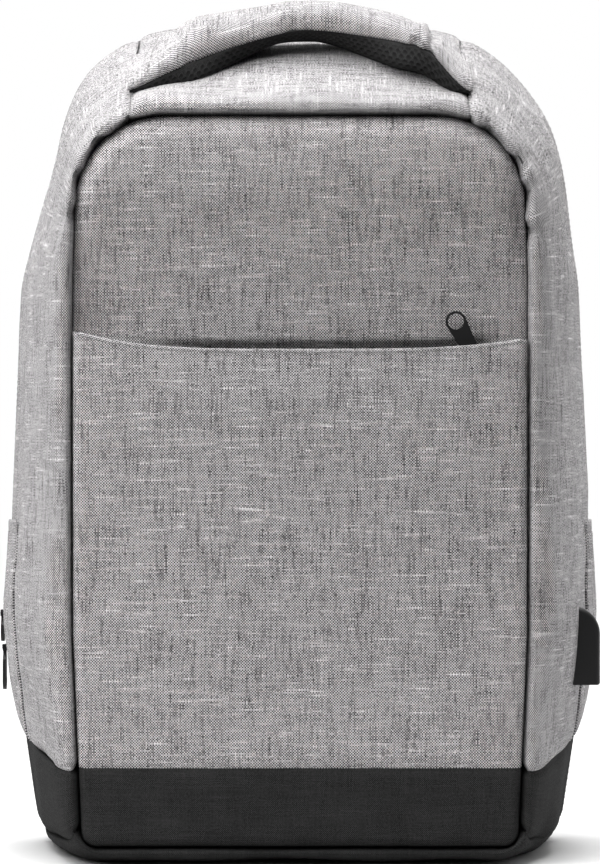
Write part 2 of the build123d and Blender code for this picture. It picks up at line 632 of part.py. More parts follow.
with BuildPart() as ladder_lock:
    add(block((LOCK_X - 17.5, LOCK_X + 17.5), (78.0, 83.0), (LOCK_TOP - 27, LOCK_TOP)))
    fillet(ladder_lock.edges().filter_by(Axis.Y), 3.0)
    for low, high in ((18.5, 22.5), (4.0, 10.0)):
        add(block((LOCK_X - 13.5, LOCK_X + 13.5), (77, 84), (LOCK_TOP - high, LOCK_TOP - low)),
            mode=Mode.SUBTRACT)
keep(ladder_lock.part, "ladder_lock_right")
keep(mirrored(ladder_lock.part), "ladder_lock_left")

# turn of webbing round the middle bar of the lock
web_x = (LOCK_X - WEB_W / 2, LOCK_X + WEB_W / 2)
with BuildPart() as lock_webbing:
    add(block(web_x, (bar_y[0] - WEB_T, bar_y[1] + WEB_T), (LOCK_TOP - 20.1, LOCK_TOP - 8.4)))
    add(block((web_x[0] - 1, web_x[1] + 1), bar_y, (LOCK_TOP - 18.7, LOCK_TOP - 9.8)), mode=Mode.SUBTRACT)
keep(lock_webbing.part, "lock_webbing_right")
keep(mirrored(lock_webbing.part), "lock_webbing_left")

TAIL_Y = 74.8             # loose end of the webbing, behind the lock
tail = slab(web_x, (TAIL_Y, TAIL_Y + WEB_T), (48, 108), 2.0)
keep(tail, "strap_tail_right")
keep(mirrored(tail), "strap_tail_left")

tab = slab((104, 136), (Y_BACK, Y_BACK + 2.2), (14, 42), 3.0)
with BuildPart() as corner_tabs:
    add(tab)
    add(mirrored(tab))
keep(corner_tabs.part, "corner_tabs")

with BuildPart() as lower_webbing:
    with BuildSketch(Plane.YZ.offset(LOCK_X - WEB_W / 2)):
        with BuildLine():
            Polyline((62.2, 20), (62.2, 38), (73.0, 62), (73.0, 112), (73.0 + WEB_T, 112),
                     (73.0 + WEB_T, 61.6), (62.2 + WEB_T, 37.6), (62.2 + WEB_T, 20), close=True)
        make_face()
    extrude(amount=WEB_W)
keep(lower_webbing.part, "lower_webbing_right")
keep(mirrored(lower_webbing.part), "lower_webbing_left")

print(len(made), "pieces")
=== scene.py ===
"""Looks of the anti-theft day backpack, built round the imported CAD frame. Helpers work in millimetres."""
import math

import bmesh
import bpy
import numpy as np
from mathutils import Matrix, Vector
from mathutils.kdtree import KDTree


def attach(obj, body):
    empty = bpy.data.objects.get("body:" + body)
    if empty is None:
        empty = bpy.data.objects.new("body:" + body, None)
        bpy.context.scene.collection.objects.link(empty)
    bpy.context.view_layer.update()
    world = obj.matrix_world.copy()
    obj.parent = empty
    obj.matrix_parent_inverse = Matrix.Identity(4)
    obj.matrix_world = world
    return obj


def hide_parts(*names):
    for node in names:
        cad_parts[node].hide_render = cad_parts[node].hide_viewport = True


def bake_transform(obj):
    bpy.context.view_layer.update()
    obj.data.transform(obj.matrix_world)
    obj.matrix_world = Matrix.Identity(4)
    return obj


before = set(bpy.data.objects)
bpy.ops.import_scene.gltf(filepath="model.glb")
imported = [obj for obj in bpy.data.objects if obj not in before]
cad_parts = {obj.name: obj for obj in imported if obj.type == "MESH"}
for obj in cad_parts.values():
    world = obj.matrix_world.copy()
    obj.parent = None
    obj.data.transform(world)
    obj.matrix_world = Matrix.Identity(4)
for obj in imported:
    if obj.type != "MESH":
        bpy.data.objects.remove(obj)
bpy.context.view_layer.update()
MM = 0.001
PI = math.pi


def coords(*parts):
    """Points from their coordinates, each an array or a number."""
    return np.stack(np.broadcast_arrays(*parts), -1)


# ------------------------------------------------------------------ outlines of the bag
# a row: depth y, half-widths low, wide, haunch and top, heights z_low, z_haunch and z_high, corner radii low and high
Z_WIDE, R_WIDE, R_HAUNCH = 110.0, 150.0, 100.0
SEAM_X, DARK_Z, DARK_Y, DARK_RISE = 82.0, 47.0, -66.0, 0.13
# profile of the front shell from behind the front seam, over the rolled lip, back to the main zip
SHELL_ROWS = np.array([
    (-60.0, 105.0, 109.4, 109.6, 107.0, 9.0, 285.0, 360.8, 7.0, 43.0),
    (-65.5, 105.3, 109.7, 109.9, 107.2, 8.7, 285.0, 361.2, 7.0, 43.3),
    (-70.5, 105.7, 110.1, 110.3, 107.6, 8.3, 285.0, 361.8, 8.0, 44.0),
    (-75.5, 106.5, 110.9, 111.1, 108.3, 7.8, 285.0, 362.6, 10.0, 45.5),
    (-77.9, 108.6, 112.6, 112.8, 109.4, 6.6, 285.0, 364.0, 14.0, 48.5),
    (-76.8, 112.0, 117.0, 116.8, 110.6, 4.8, 285.0, 367.8, 19.0, 52.5),
    (-70.0, 114.6, 123.8, 121.0, 111.6, 2.2, 285.0, 373.0, 23.0, 56.0),
    (-56.0, 117.6, 130.0, 124.6, 112.0, 0.5, 285.0, 379.2, 24.0, 58.0),
    (-25.0, 124.4, 139.4, 133.3, 112.0, 0.0, 285.0, 395.0, 20.0, 64.0),
    (10.0, 128.0, 144.2, 138.0, 112.0, 0.0, 285.0, 405.5, 17.0, 67.0),
    (42.0, 130.6, 147.2, 140.5, 112.0, 0.0, 285.0, 413.6, 19.0, 70.0),
])
REAR_ROWS = np.array([
    (46.6, 129.4, 145.0, 138.0, 110.0, 4.2, 285.0, 411.4, 19.0, 68.0),
    (47.4, 130.8, 146.9, 139.9, 111.5, 2.5, 285.0, 413.2, 20.0, 70.0),
    (49.0, 131.4, 147.6, 140.6, 112.0, 2.0, 285.0, 414.0, 20.0, 70.0),
    (53.0, 131.2, 147.4, 140.4, 111.8, 2.3, 285.0, 413.6, 20.0, 70.0),
    (57.5, 130.2, 145.8, 138.8, 110.6, 4.2, 285.0, 411.8, 24.0, 69.5),
    (60.0, 128.0, 143.6, 136.6, 109.0, 6.4, 284.5, 409.4, 23.5, 68.5),
    (60.4, 124.4, 140.0, 133.0, 106.5, 10.0, 284.0, 405.8, 22.0, 66.0),
])


def fillet_path(points, radii, step=1.5):
    """Polyline through points with its inner corners rounded."""
    pts = [np.array(p, float) for p in points]
    out = [pts[0]]
    for p0, p1, p2, r in zip(pts, pts[1:], pts[2:], radii):
        a, b = p0 - p1, p2 - p1
        a, b = a / np.linalg.norm(a), b / np.linalg.norm(b)
        turn = PI - math.acos(np.clip(a @ b, -1, 1))
        if turn < 1e-4:
            out.append(p1)
            continue
        reach = r * math.tan(turn / 2)
        middle = p1 + (a + b) / np.linalg.norm(a + b) * r / math.cos(turn / 2)
        start, end = p1 + a * reach - middle, p1 + b * reach - middle
        count = max(3, int(r * turn / step))
        for i in range(count + 1):
            f = i / count
            arm = (math.sin((1 - f) * turn) * start + math.sin(f * turn) * end) / math.sin(turn)
            out.append(middle + arm)
    out.append(pts[-1])
    return np.array(out)


def half_outline(row):
    """Right half of one outline, from the middle of the bottom to the middle of the top."""
    _, low, wide, haunch, top, z_low, z_haunch, z_high, r_low, r_high = row
    corners = [(0, z_low), (low, z_low), (wide, Z_WIDE), (haunch, z_haunch), (top, z_high), (0, z_high)]
    return fillet_path(corners, [r_low, R_WIDE, R_HAUNCH, r_high])


def catmull(rows, t):
    """Smooth value between table rows at parameter t, in row units."""
    i = int(min(max(math.floor(t), 0), len(rows) - 2))
    f = t - i
    p0, p1 = rows[max(i - 1, 0)], rows[i]
    p2, p3 = rows[i + 1], rows[min(i + 2, len(rows) - 1)]
    return 0.5 * (2 * p1 + (p2 - p0) * f + (2 * p0 - 5 * p1 + 4 * p2 - p3) * f ** 2
                  + (3 * p1 - p0 - 3 * p2 + p3) * f ** 3)


def arc_lengths(path):
    """Distance along a path to each of its points."""
    return np.concatenate([[0], np.cumsum(np.linalg.norm(np.diff(path, axis=0), axis=1))])


def crossing(path, s, axis, value, start=0.0):
    """Arc length at which the path's coordinate passes value, after start."""
    side = path[:, axis] - value
    for i in range(len(path) - 1):
        if s[i + 1] > start and side[i] * side[i + 1] <= 0 and side[i] != side[i + 1]:
            return s[i] + (s[i + 1] - s[i]) * side[i] / (side[i] - side[i + 1])
    raise ValueError("no crossing")


def at(path, s, where):
    """Point of a path at arc length where."""
    return coords(*(np.interp(where, s, column) for column in path.T))


def marks(row):
    """One half-outline, its arc lengths, and where the panels meet: start, base, dark band, top gusset, end."""
    path = half_outline(row)
    s = arc_lengths(path)
    dark = DARK_Z + DARK_RISE * (row[0] - DARK_Y)
    base = crossing(path, s, 1, row[5] + 9.0, start=row[1] * 0.6)
    return path, s, 0.0, base, crossing(path, s, 1, dark), crossing(path, s, 0, SEAM_X, start=s[-1] * 0.5), s[-1]


# ------------------------------------------------------------------ mesh building
# how far the right corner stands out and the left one falls in, at what height, and over how much of it
SETTLE_RIGHT, RIGHT_Z, RIGHT_REACH = 5.0, 345.0, 38.0
SETTLE_LEFT, LEFT_Z, LEFT_REACH = 3.2, 262.0, 90.0
SIDE_X, SIDE_REACH = 105.0, 22.0
WAVE_COUNT = 18


def waves(p, scale, seed):
    """Smooth seeded unevenness, about -1 to 1, at points p in mm."""
    rng = np.random.RandomState(seed)
    total = np.zeros(p.shape[:-1])
    for _ in range(WAVE_COUNT):
        d = rng.normal(size=p.shape[-1])
        d *= 2 * PI / (scale * rng.uniform(0.6, 1.7)) / np.linalg.norm(d)
        total += np.sin(p @ d + rng.uniform(0, 2 * PI))
    return total / math.sqrt(WAVE_COUNT)


def grid_normals(p):
    """Unit normals of a grid of points, from its two directions."""
    n = np.cross(np.gradient(p, axis=0), np.gradient(p, axis=1))
    return n / np.maximum(np.linalg.norm(n, axis=-1, keepdims=True), 1e-9)


def smooth(x):
    """Eased step from 0 at 0 to 1 at 1."""
    x = np.clip(x, 0, 1)
    return x * x * (3 - 2 * x)


def bump(x, width):
    """Bell shape, 1 at 0."""
    return np.exp(-(x / width) ** 2)


def settle(p):
    """The stuffed bag isn't quite even: its upper right corner stands out and the left one falls in."""
    p = np.array(p, float)
    x, z = p[:, 0], p[:, 2]
    right = SETTLE_RIGHT * bump(z - RIGHT_Z, RIGHT_REACH)
    left = SETTLE_LEFT * smooth((z - LEFT_Z) / LEFT_REACH)
    p[:, 0] += smooth((np.abs(x) - SIDE_X) / SIDE_REACH) * np.where(x > 0, right, left)
    return p


def make_object(name, verts, faces, fabric=None, material_of=None, materials=()):
    """Mesh object from mm points; fabric is the cloth's own coordinates at each point, in mm."""
    mesh = bpy.data.meshes.new(name)
    verts = np.asarray(verts, float) if name == "floor" else settle(verts)
    mesh.from_pydata((verts * MM).tolist(), [], [list(map(int, f)) for f in faces])
    if fabric is not None:
        layer = mesh.attributes.new("fabric", "FLOAT_VECTOR", "POINT")
        layer.data.foreach_set("vector", (np.asarray(fabric) * MM).astype(np.float32).ravel())
    for m in materials:
        mesh.materials.append(m)
    if material_of is not None:
        mesh.polygons.foreach_set("material_index", np.asarray(material_of, np.int32))
    mesh.polygons.foreach_set("use_smooth", [True] * len(mesh.polygons))
    mesh.validate()
    mesh.update()
    piece = bpy.data.objects.new(name, mesh)
    bpy.context.scene.collection.objects.link(piece)
    return piece


def grid_faces(nu, nv, offset, flip):
    """Quads of a grid whose points start at offset."""
    i, j = np.meshgrid(np.arange(nu - 1), np.arange(nv - 1), indexing="ij")
    a, b = i * nv + j, (i + 1) * nv + j
    quads = coords(a, b, b + 1, a + 1).reshape(-1, 4) + offset
    return quads[:, ::-1] if flip else quads


def sheet_faces(nu, nv, outward):
    """Faces of a sheet with two grids of points: its outer ones, its inner ones and its rim."""
    count = nu * nv
    loop = [(i, 0) for i in range(nu)] + [(nu - 1, j) for j in range(1, nv)]
    loop += [(i, nv - 1) for i in range(nu - 2, -1, -1)] + [(0, j) for j in range(nv - 2, 0, -1)]
    ids = np.array([i * nv + j for i, j in loop])
    following = np.roll(ids, -1)
    rim = np.stack([ids, ids + count, following + count, following], -1)
    return (grid_faces(nu, nv, 0, flip=outward < 0), grid_faces(nu, nv, count, flip=outward > 0),
            rim[:, ::-1] if outward < 0 else rim)


def facing(p, axis):
    """Which way along an axis the grid p faces, 1 or -1."""
    return np.sign(np.mean(grid_normals(p)[..., axis]))


def set_hole_shade(piece, depth):
    """Stores how deep in a hole of the mesh cloth each point lies, 0 to 1, for the spacer's painted shade in its
    holes.
    """
    layer = piece.data.attributes.new("hole_shade", "FLOAT", "POINT")
    layer.data.foreach_set("value", np.asarray(depth, np.float32).ravel())


def shell(name, p, fabric, thickness, materials, outward=1.0, rim_mat=0, inner=None):
    """Closed sheet of cloth: the grid p as its outer face, an inner face behind it, and a rim.
    thickness is a number, or one for each of the grid's rows."""
    nu, nv = p.shape[:2]
    if inner is None:
        inner = p - grid_normals(p) * outward * np.broadcast_to(thickness, (nu, nv))[..., None]
    parts = sheet_faces(nu, nv, outward)
    index = np.repeat([0, 1, rim_mat], [len(part) for part in parts])
    return make_object(name, np.concatenate([p.reshape(-1, 3), inner.reshape(-1, 3)]), np.concatenate(parts),
                       np.concatenate([fabric.reshape(-1, 3)] * 2), index, materials)


def stretch(piece):
    """Bakes the placement of a piece that runs from one body to another into its mesh."""
    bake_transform(piece)


def dress(piece, body, slot, *replaced):
    """Gives a piece its body and hides the CAD nodes that it stands for; slot is not used."""
    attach(piece, body)
    if replaced:
        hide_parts(*replaced)
    return piece


# ------------------------------------------------------------------ materials
class Nodes:
    """Short way to write a node tree."""

    def __init__(self, name):
        self.material = bpy.data.materials.new(name)
        self.material.use_nodes = True
        self.tree = self.material.node_tree
        self.shader = self.tree.nodes["Principled BSDF"]

    def close(self, colour, height=None, depth=0.0, strength=1.0, **values):
        """Joins colour and relief to the shader, sets its values and gives the material."""
        self.plug(self.shader.inputs["Base Color"], colour)
        if height is not None:
            self.plug(self.shader.inputs["Normal"], self.bump(height, depth, strength))
        for key, value in values.items():
            self.shader.inputs[key.replace("_", " ")].default_value = value
        return self.material

    def node(self, kind, **props):
        n = self.tree.nodes.new(kind)
        for key, value in props.items():
            setattr(n, key, value)
        return n

    def plug(self, socket, value):
        if isinstance(value, bpy.types.NodeSocket):
            self.tree.links.new(value, socket)
        elif value is not None:
            socket.default_value = value

    def fed(self, kind, *values, **props):
        """Node whose first sockets hold or join values."""
        n = self.node(kind, **props)
        for socket, value in zip(n.inputs, values):
            self.plug(socket, value)
        return n

    def math(self, op, *values):
        return self.fed("ShaderNodeMath", *values, operation=op).outputs[0]

    def mul(self, a, b):
        return self.math("MULTIPLY", a, b)

    def add(self, a, b):
        return self.math("ADD", a, b)

    def less(self, a, b):
        return self.math("SUBTRACT", a, b)

    def mul_add(self, a, b, c):
        return self.math("MULTIPLY_ADD", a, b, c)

    def wave(self, a, pitch):
        return self.math("SINE", self.mul(a, 2 * PI / pitch))

    def combine(self, x, y, z=0.0):
        return self.fed("ShaderNodeCombineXYZ", x, y, z).outputs[0]

    def keyed(self, kind, **values):
        """Node whose named sockets hold or join values."""
        n = self.node(kind)
        for key, value in values.items():
            self.plug(n.inputs[key], value)
        return n

    def noise(self, vector, scale, detail):
        return self.keyed("ShaderNodeTexNoise", Vector=vector, Scale=scale, Detail=detail).outputs["Fac"]

    def grain(self, scale, detail):
        return self.noise(self.node("ShaderNodeTexCoord").outputs["Object"], scale, detail)

    def ramp(self, value, *stops):
        n = self.fed("ShaderNodeValToRGB", value)
        while len(n.color_ramp.elements) < len(stops):
            n.color_ramp.elements.new(0.5)
        for element, (place, colour) in zip(n.color_ramp.elements, stops):
            element.position, element.color = place, (*colour, 1)
        return n.outputs["Color"]

    def mix(self, factor, a, b):
        n = self.node("ShaderNodeMix", data_type="RGBA")
        for k, value in ((0, factor), (6, a), (7, b)):
            self.plug(n.inputs[k], value)
        return n.outputs[2]

    def bump(self, height, distance, strength):
        return self.keyed("ShaderNodeBump", Strength=strength, Distance=distance, Height=height).outputs["Normal"]

    def cloth_axes(self):
        n = self.node("ShaderNodeAttribute", attribute_name="fabric")
        return self.fed("ShaderNodeSeparateXYZ", n.outputs["Vector"]).outputs[:2]


def grey(value, warm=0.0):
    """Grey with a faint rose cast."""
    return (value * (1 + warm), value * (1 - warm), value)


WEFT_SHARE = 2.2         # how much stronger the weft's streaks are than the warp's


def woven(name, dark, mid, light, pitch, checker, streak, slub, roughness=0.9, warm=0.024, depth=0.0002):
    """Plain weave: light warp over dark weft, each thread uneven along its length, with raised slubs."""
    t = Nodes(name)
    u, v = t.cloth_axes()
    su, sv = t.math("DIVIDE", u, pitch), t.math("DIVIDE", v, pitch)
    iu, iv = t.math("FLOOR", su), t.math("FLOOR", sv)
    over = t.math("FLOORED_MODULO", t.add(iu, iv), 2.0)
    under = t.less(1.0, over)

    def threads(index, along, row, rate):
        return t.less(t.noise(t.combine(t.mul(index, 7.31), t.mul(along, rate), row), 1.0, 1.5), 0.5)

    warp, weft = threads(iu, v, 0.0, 60.0), threads(iv, u, 31.7, 60.0)
    shade = t.add(t.mul(warp, under), t.mul(weft, t.mul(over, WEFT_SHARE)))
    shade = t.mul_add(shade, streak, t.mul_add(over, -checker, 0.5 + checker / 2))
    # slubs: a few threads lie thick and pale, or thin and dark, over a longer stretch
    long_warp, long_weft = threads(iu, v, 9.1, 26.0), threads(iv, u, 57.3, 26.0)
    thick = t.less(t.math("MAXIMUM", t.math("MAXIMUM", long_warp, long_weft), 0.13), 0.13)
    thin = t.add(t.math("MINIMUM", t.math("MINIMUM", long_warp, long_weft), -0.17), 0.17)
    slubs = t.mul_add(thin, 0.5, thick)
    shade = t.mul_add(slubs, slub, shade)
    blotch = t.less(t.noise(t.combine(u, v), 55.0, 2.0), 0.5)
    shade = t.mul_add(blotch, 0.22, shade)
    speck = t.noise(t.combine(iu, iv), 0.93, 1.0)
    shade = t.mul_add(t.less(speck, 0.5), 0.7, shade)
    colour = t.ramp(shade, (0.15, grey(dark, warm)), (0.5, grey(mid, warm)), (0.85, grey(light, warm * 0.5)))
    up_u, up_v = (t.math("COSINE", t.mul(t.less(t.math("FRACT", turn), 0.5), PI)) for turn in (su, sv))
    height = t.mul_add(slubs, 2.0, t.add(t.mul(up_u, under), t.mul(up_v, over)))
    return t.close(colour, height, depth, 0.7, Roughness=roughness, Sheen_Weight=0.2 * mid, Sheen_Roughness=0.5,
                   Specular_IOR_Level=0.12)


melange = woven("melange", 0.005, 0.150, 0.74, 0.00068, 0.62, 0.95, 1.35)
charcoal = woven("charcoal", 0.004, 0.019, 0.048, 0.00050, 0.40, 0.4, 0.2, 0.9, 0.0, 0.00015)
lining = woven("lining_cloth", 0.035, 0.05, 0.07, 0.00035, 0.2, 0.3, 0.2, 0.6, 0.0, 0.00005)


def plain(name, colour, roughness, scale=900.0, relief=0.02, **values):
    """Moulded or metal finish with a faint grain; relief is in mm."""
    t = Nodes(name)
    speck = t.grain(scale, 3.0)
    low, high = (tuple(c * share for c in colour) for share in (0.88, 1.12))
    return t.close(t.ramp(speck, (0.35, low), (0.65, high)), speck, relief * MM, 0.5, Roughness=roughness, **values)


def ribbed(name, tone, pitch):
    """Woven tape: ribs across its width and a fine herring of threads along it."""
    t = Nodes(name)
    u, v = t.cloth_axes()
    rib, fine = t.wave(v, pitch), t.wave(u, pitch * 0.62)
    weave = t.mul_add(t.mul(rib, fine), 0.35, t.mul_add(rib, 0.15, 0.5))
    uneven = t.noise(t.combine(u, v), 900.0, 2.0)
    shade = t.mul_add(uneven, 0.3, t.less(weave, 0.15))
    return t.close(t.ramp(shade, (0.15, grey(tone * 0.55)), (0.85, grey(tone * 1.5))), shade, 0.00035, 0.8,
                   Roughness=0.7, Specular_IOR_Level=0.3)


def knitted(name, tone):
    """Spacer mesh: a fine knit, with painted shade that darkens its holes to nearly black."""
    t = Nodes(name)
    u, v = t.cloth_axes()
    hole = t.node("ShaderNodeAttribute", attribute_name="hole_shade").outputs["Fac"]
    knit = t.mul(t.wave(u, 0.0008), t.wave(v, 0.0011))
    shade = t.mul_add(knit, 0.25, t.noise(t.combine(u, v), 700.0, 2.0))
    yarn = t.ramp(shade, (0.2, grey(tone * 0.5)), (0.8, grey(tone * 1.6)))
    # painted shade: deep in a hole the yarn colour gives way to near-black, as if shaded inside the mesh
    return t.close(t.mix(hole, yarn, (0.002, 0.002, 0.002, 1)), shade, 0.00025, 0.7, Roughness=0.8,
                   Specular_IOR_Level=0.25)


spacer = knitted("spacer_mesh", 0.018)
binding = ribbed("binding_grey", 0.16, 0.0009)
webbing = ribbed("webbing_black", 0.022, 0.0016)
tape_cloth = ribbed("zip_tape_cloth", 0.03, 0.0008)
coil_nylon = plain("coil_nylon", (0.018, 0.018, 0.019), 0.35, 600.0)
rubber = plain("puller_rubber", (0.006, 0.006, 0.0065), 0.5, 1500.0, Specular_IOR_Level=0.35)
metal_dark = plain("slider_metal", (0.05, 0.05, 0.055), 0.32, 900.0, 0.01, Metallic=1.0)
plastic = plain("black_plastic", (0.011, 0.011, 0.0115), 0.45, 2200.0, Specular_IOR_Level=0.35)
tongue = plain("tongue_white", (0.75, 0.76, 0.78), 0.35)
steel = plain("socket_steel", (0.62, 0.62, 0.61), 0.25, 900.0, 0.005, Metallic=1.0)
cable_skin = plain("cable_skin", (0.02, 0.02, 0.021), 0.4)
board_mat = plain("base_board_skin", (0.05, 0.05, 0.052), 0.5)
CLOTH = (melange, lining)
DARK = (charcoal, lining)

# ------------------------------------------------------------------ front shell: gussets and base
ROW_STEPS = 88
LAST = len(SHELL_ROWS) - 1
row_at = np.linspace(0, LAST, ROW_STEPS)
row_at = LAST * (row_at / LAST) ** 1.15          # finer near the front seam
shell_rows = [catmull(SHELL_ROWS, t) for t in row_at]
shell_marks = [marks(r) for r in shell_rows]
ZIP_FLAP_Y = 30.0
REAR_STITCH = 5.0         # from the rear edge of the shell to its stitches
SEAM_DEPTH, SEAM_WIDTH = 1.5, 2.2
PUCKER_WIDTH = 0.05
PUCKERS_LEFT = (0.30, 0.52, 0.76)
PUCKERS_RIGHT = (0.20, 0.44, 0.62, 0.86)


def shell_grid(first, last, columns):
    """Grid of the front shell between two marks of the right half-outline, (columns, rows, 3), the cloth's
    coordinate across it, and the depth along it."""
    p = np.zeros((columns, ROW_STEPS, 3))
    s_grid = np.zeros((columns, ROW_STEPS))
    for j, (row, (path, s, *mark)) in enumerate(zip(shell_rows, shell_marks)):
        s0, s1 = mark[first], mark[last]
        where = s0 + (s1 - s0) * np.linspace(0, 1, columns)
        x, z = at(path, s, where).T
        p[:, j] = coords(x, row[0], z)
        knots = [s0, *(k for k in (crossing(path, s, 1, Z_WIDE), crossing(path, s, 1, row[6])) if s0 < k < s1), s1]
        first_knots = knots if j == 0 else first_knots
        s_grid[:, j] = np.interp(where, knots, first_knots)
    return p, s_grid, arc_lengths(p[columns // 2])


def corner_share(p):
    """How far round the top corner each point is: 0 at the straight side, 1 at the top seam."""
    return np.clip(np.arctan2(p[..., 2] - 290.0, np.maximum(np.abs(p[..., 0]) - 30.0, 1.0)) / 0.95, 0, 1)


def soften(p, depth, normals, puckers, seed, seams):
    """Unevenness of stuffed cloth: gentle waves, gathers round the corner and creases at the seams."""
    push = 0.9 * waves(p, 85.0, seed) + 0.35 * waves(p, 30.0, seed + 1)
    push *= smooth((depth - 8) / 25)[None, :] * smooth((depth[-1] - depth) / 18)[None, :]
    share = corner_share(p)
    near_lip = bump(depth - 13.0, 8.5)[None, :] + 0.35 * bump(depth - 26.0, 12.0)[None, :]
    for k, place in enumerate(puckers):
        lean = place + 0.0016 * (depth - 14)[None, :] * (1 if k % 2 else -1)
        push -= (1.7 - 0.3 * (k % 2)) * bump(share - lean, PUCKER_WIDTH) * near_lip
        push += 1.1 * bump(share - lean - 0.07, 0.045) * near_lip
    push += 1.1 * smooth((p[..., 1] - ZIP_FLAP_Y) / 2.5)
    for distance in seams:
        push -= SEAM_DEPTH * bump(distance, SEAM_WIDTH)
    return p + normals * push[..., None]


def side_bulge(p, depth):
    """Fullness of the side between the dark corner and the haunch."""
    grow = np.sin(PI * np.clip((p[..., 2] - 50) / 250, 0, 1)) * smooth((depth - 30) / 40)[None, :]
    q = p.copy()
    q[..., 0] += np.sign(p[..., 0]) * 0.8 * grow
    return q


def outward_normals(p):
    """Normals of a grid on the bag's shell, pointing away from its middle."""
    n = grid_normals(p)
    centre = np.array([0, -5.0, 200.0])
    if np.mean(np.sum(n * (p - centre), -1)) < 0:
        n = -n
    return n


def ring_faces(n, m, closed=False):
    """Faces of a skin over n rings of m points, with a cap at each end unless the rings close on themselves."""
    faces = []
    for i in range(n if closed else n - 1):
        k = (i + 1) % n
        for q in range(m):
            r = (q + 1) % m
            faces.append((i * m + q, i * m + r, k * m + r, k * m + q))
    if not closed:
        faces += [tuple(reversed(range(m))), tuple((n - 1) * m + q for q in range(m))]
    return faces


def bars(path, out, places, reach, bar_rings):
    """Small six-sided bars at places along a path. From a bar's middle, the path's direction and the outward one,
    bar_rings gives the centres and radii of its rings and the second direction of its sides."""
    s = arc_lengths(path)
    angle = np.arange(6)[:, None] * PI / 3
    verts, faces = [], []
    for where in places:
        middle, n = at(path, s, where), at(out, s, where)
        ahead = at(path, s, min(where + reach, s[-1])) - at(path, s, where - reach)
        ahead, n = ahead / np.linalg.norm(ahead), n / np.linalg.norm(n)
        centres, radii, across = bar_rings(middle, ahead, n)
        faces += [tuple(len(verts) + i for i in f) for f in ring_faces(len(radii), 6)]
        for centre, r in zip(centres, radii):
            verts += list(centre + r * (np.cos(angle) * across + np.sin(angle) * n))
    return np.array(verts), faces


STITCH_PITCH, STITCH_LENGTH = 3.2, 2.3
STITCH_RINGS = np.array([(-0.5, 0.15), (-0.38, 0.8), (0.0, 1.0), (0.38, 0.8), (0.5, 0.15)])


def stitch_row(points, normals, radius):
    """Small thread capsules along a path on the cloth. Returns vertices and faces."""
    f, r = STITCH_RINGS.T[..., None]

    def rings(middle, ahead, n):
        rise = radius * 0.4 - 0.05 - radius * 1.3 * (2 * f) ** 2
        return middle + ahead * f * STITCH_LENGTH + n * rise, radius * r, np.cross(n, ahead)

    places = (np.arange(int(arc_lengths(points)[-1] / STITCH_PITCH)) + 0.5) * STITCH_PITCH
    return bars(points, normals, places, 0.4, rings)


all_stitches = {}


def sew(group, points, normals, radius=0.2):
    """Adds a row of stitches to a named group, which becomes one object per body and colour."""
    verts, faces = stitch_row(points, normals, radius)
    held = all_stitches.setdefault(group, [[], []])
    base = sum(len(v) for v in held[0])
    held[0].append(verts)
    held[1] += [tuple(base + i for i in f) for f in faces]


def flip_x(p):
    """Mirror image of points."""
    return p * (-1, 1, 1)


def lip_thickness(depth):
    """Single cloth at the rolled lip, backed with foam behind it."""
    return 0.35 + 2.2 * smooth((depth - 26) / 14)


def bag_cloth(node, slot, p, across, depth, seed, shade_seed, materials, puckers=(), rim_mat=0, lined_up=True):
    """One panel of the front shell, creased where it is sewn to the next. The weave follows across, or x if it isn't
    lined up with the outline. Gives the softened panel's points and their outward normals."""
    n = outward_normals(p)
    p = soften(p, depth, n, puckers, seed, (across - across[:1], across[-1:] - across))
    if node == "base_panel":
        p[..., 2] = np.maximum(p[..., 2], 0.0)
    fabric = coords(depth[None, :] + 37.0 * shade_seed, across if lined_up else p[..., 0], 0.0)
    piece = shell(f"{node}_cloth", p, fabric, lip_thickness(depth), materials, rim_mat=rim_mat,
                  outward=np.sign(np.sum(grid_normals(p) * n)))
    dress(piece, "bag", slot, node)
    return p, outward_normals(p)


def sew_rear(group, p, normals, depth):
    """Stitches along a panel's rear edge, by the zip."""
    j = np.searchsorted(depth, depth[-1] - REAR_STITCH)
    sew(group, p[:, j], normals[:, j])


SIDES = (("right", 1), ("left", -1))
START_MARK, BASE_MARK, DARK_MARK, TOP_MARK, END_MARK = range(5)
gusset, s_side, d_side = shell_grid(DARK_MARK, TOP_MARK, 210)
gusset_grids = {}
for side, sign, puckers, seed in (("right", 1, PUCKERS_RIGHT, 5), ("left", -1, PUCKERS_LEFT, 9)):
    p, n = bag_cloth(f"gusset_{side}", "grey_melange", side_bulge(gusset, d_side) * (sign, 1, 1), s_side, d_side,
                     seed, seed, CLOTH, puckers, 1)
    sew_rear("bag_grey", p, n, d_side)
    gusset_grids[side] = p

# top gusset, across both halves
half, s_half, d_half = shell_grid(TOP_MARK, END_MARK, 46)
p, n = bag_cloth("gusset_top", "grey_melange", np.concatenate([half, flip_x(half)[::-1][1:]]),
                 np.concatenate([s_half, 2 * s_half[-1:] - s_half[::-1][1:]]), d_half, 21, 2, CLOTH, (), 1, False)
j = np.searchsorted(d_half, 21.0)
sew("bag_grey", p[2:-2, j], n[2:-2, j])
sew_rear("bag_grey", p[2:-2], n[2:-2], d_half)

# dark side corners and the base
corner, s_corner, d_corner = shell_grid(BASE_MARK, DARK_MARK, 34)
for side, sign in SIDES:
    p, n = bag_cloth(f"side_base_{side}", "charcoal_fabric", corner * (sign, 1, 1), s_corner, d_corner, 31 + sign, 3,
                     DARK)
    sew_rear("bag_dark", p, n, d_corner)

base, s_base, d_base = shell_grid(START_MARK, BASE_MARK, 60)
bag_cloth("base_panel", "charcoal_fabric", np.concatenate([flip_x(base)[::-1], base[1:]]),
          np.concatenate([-s_base[::-1], s_base[1:]]), d_base, 44, 4, DARK, lined_up=False)


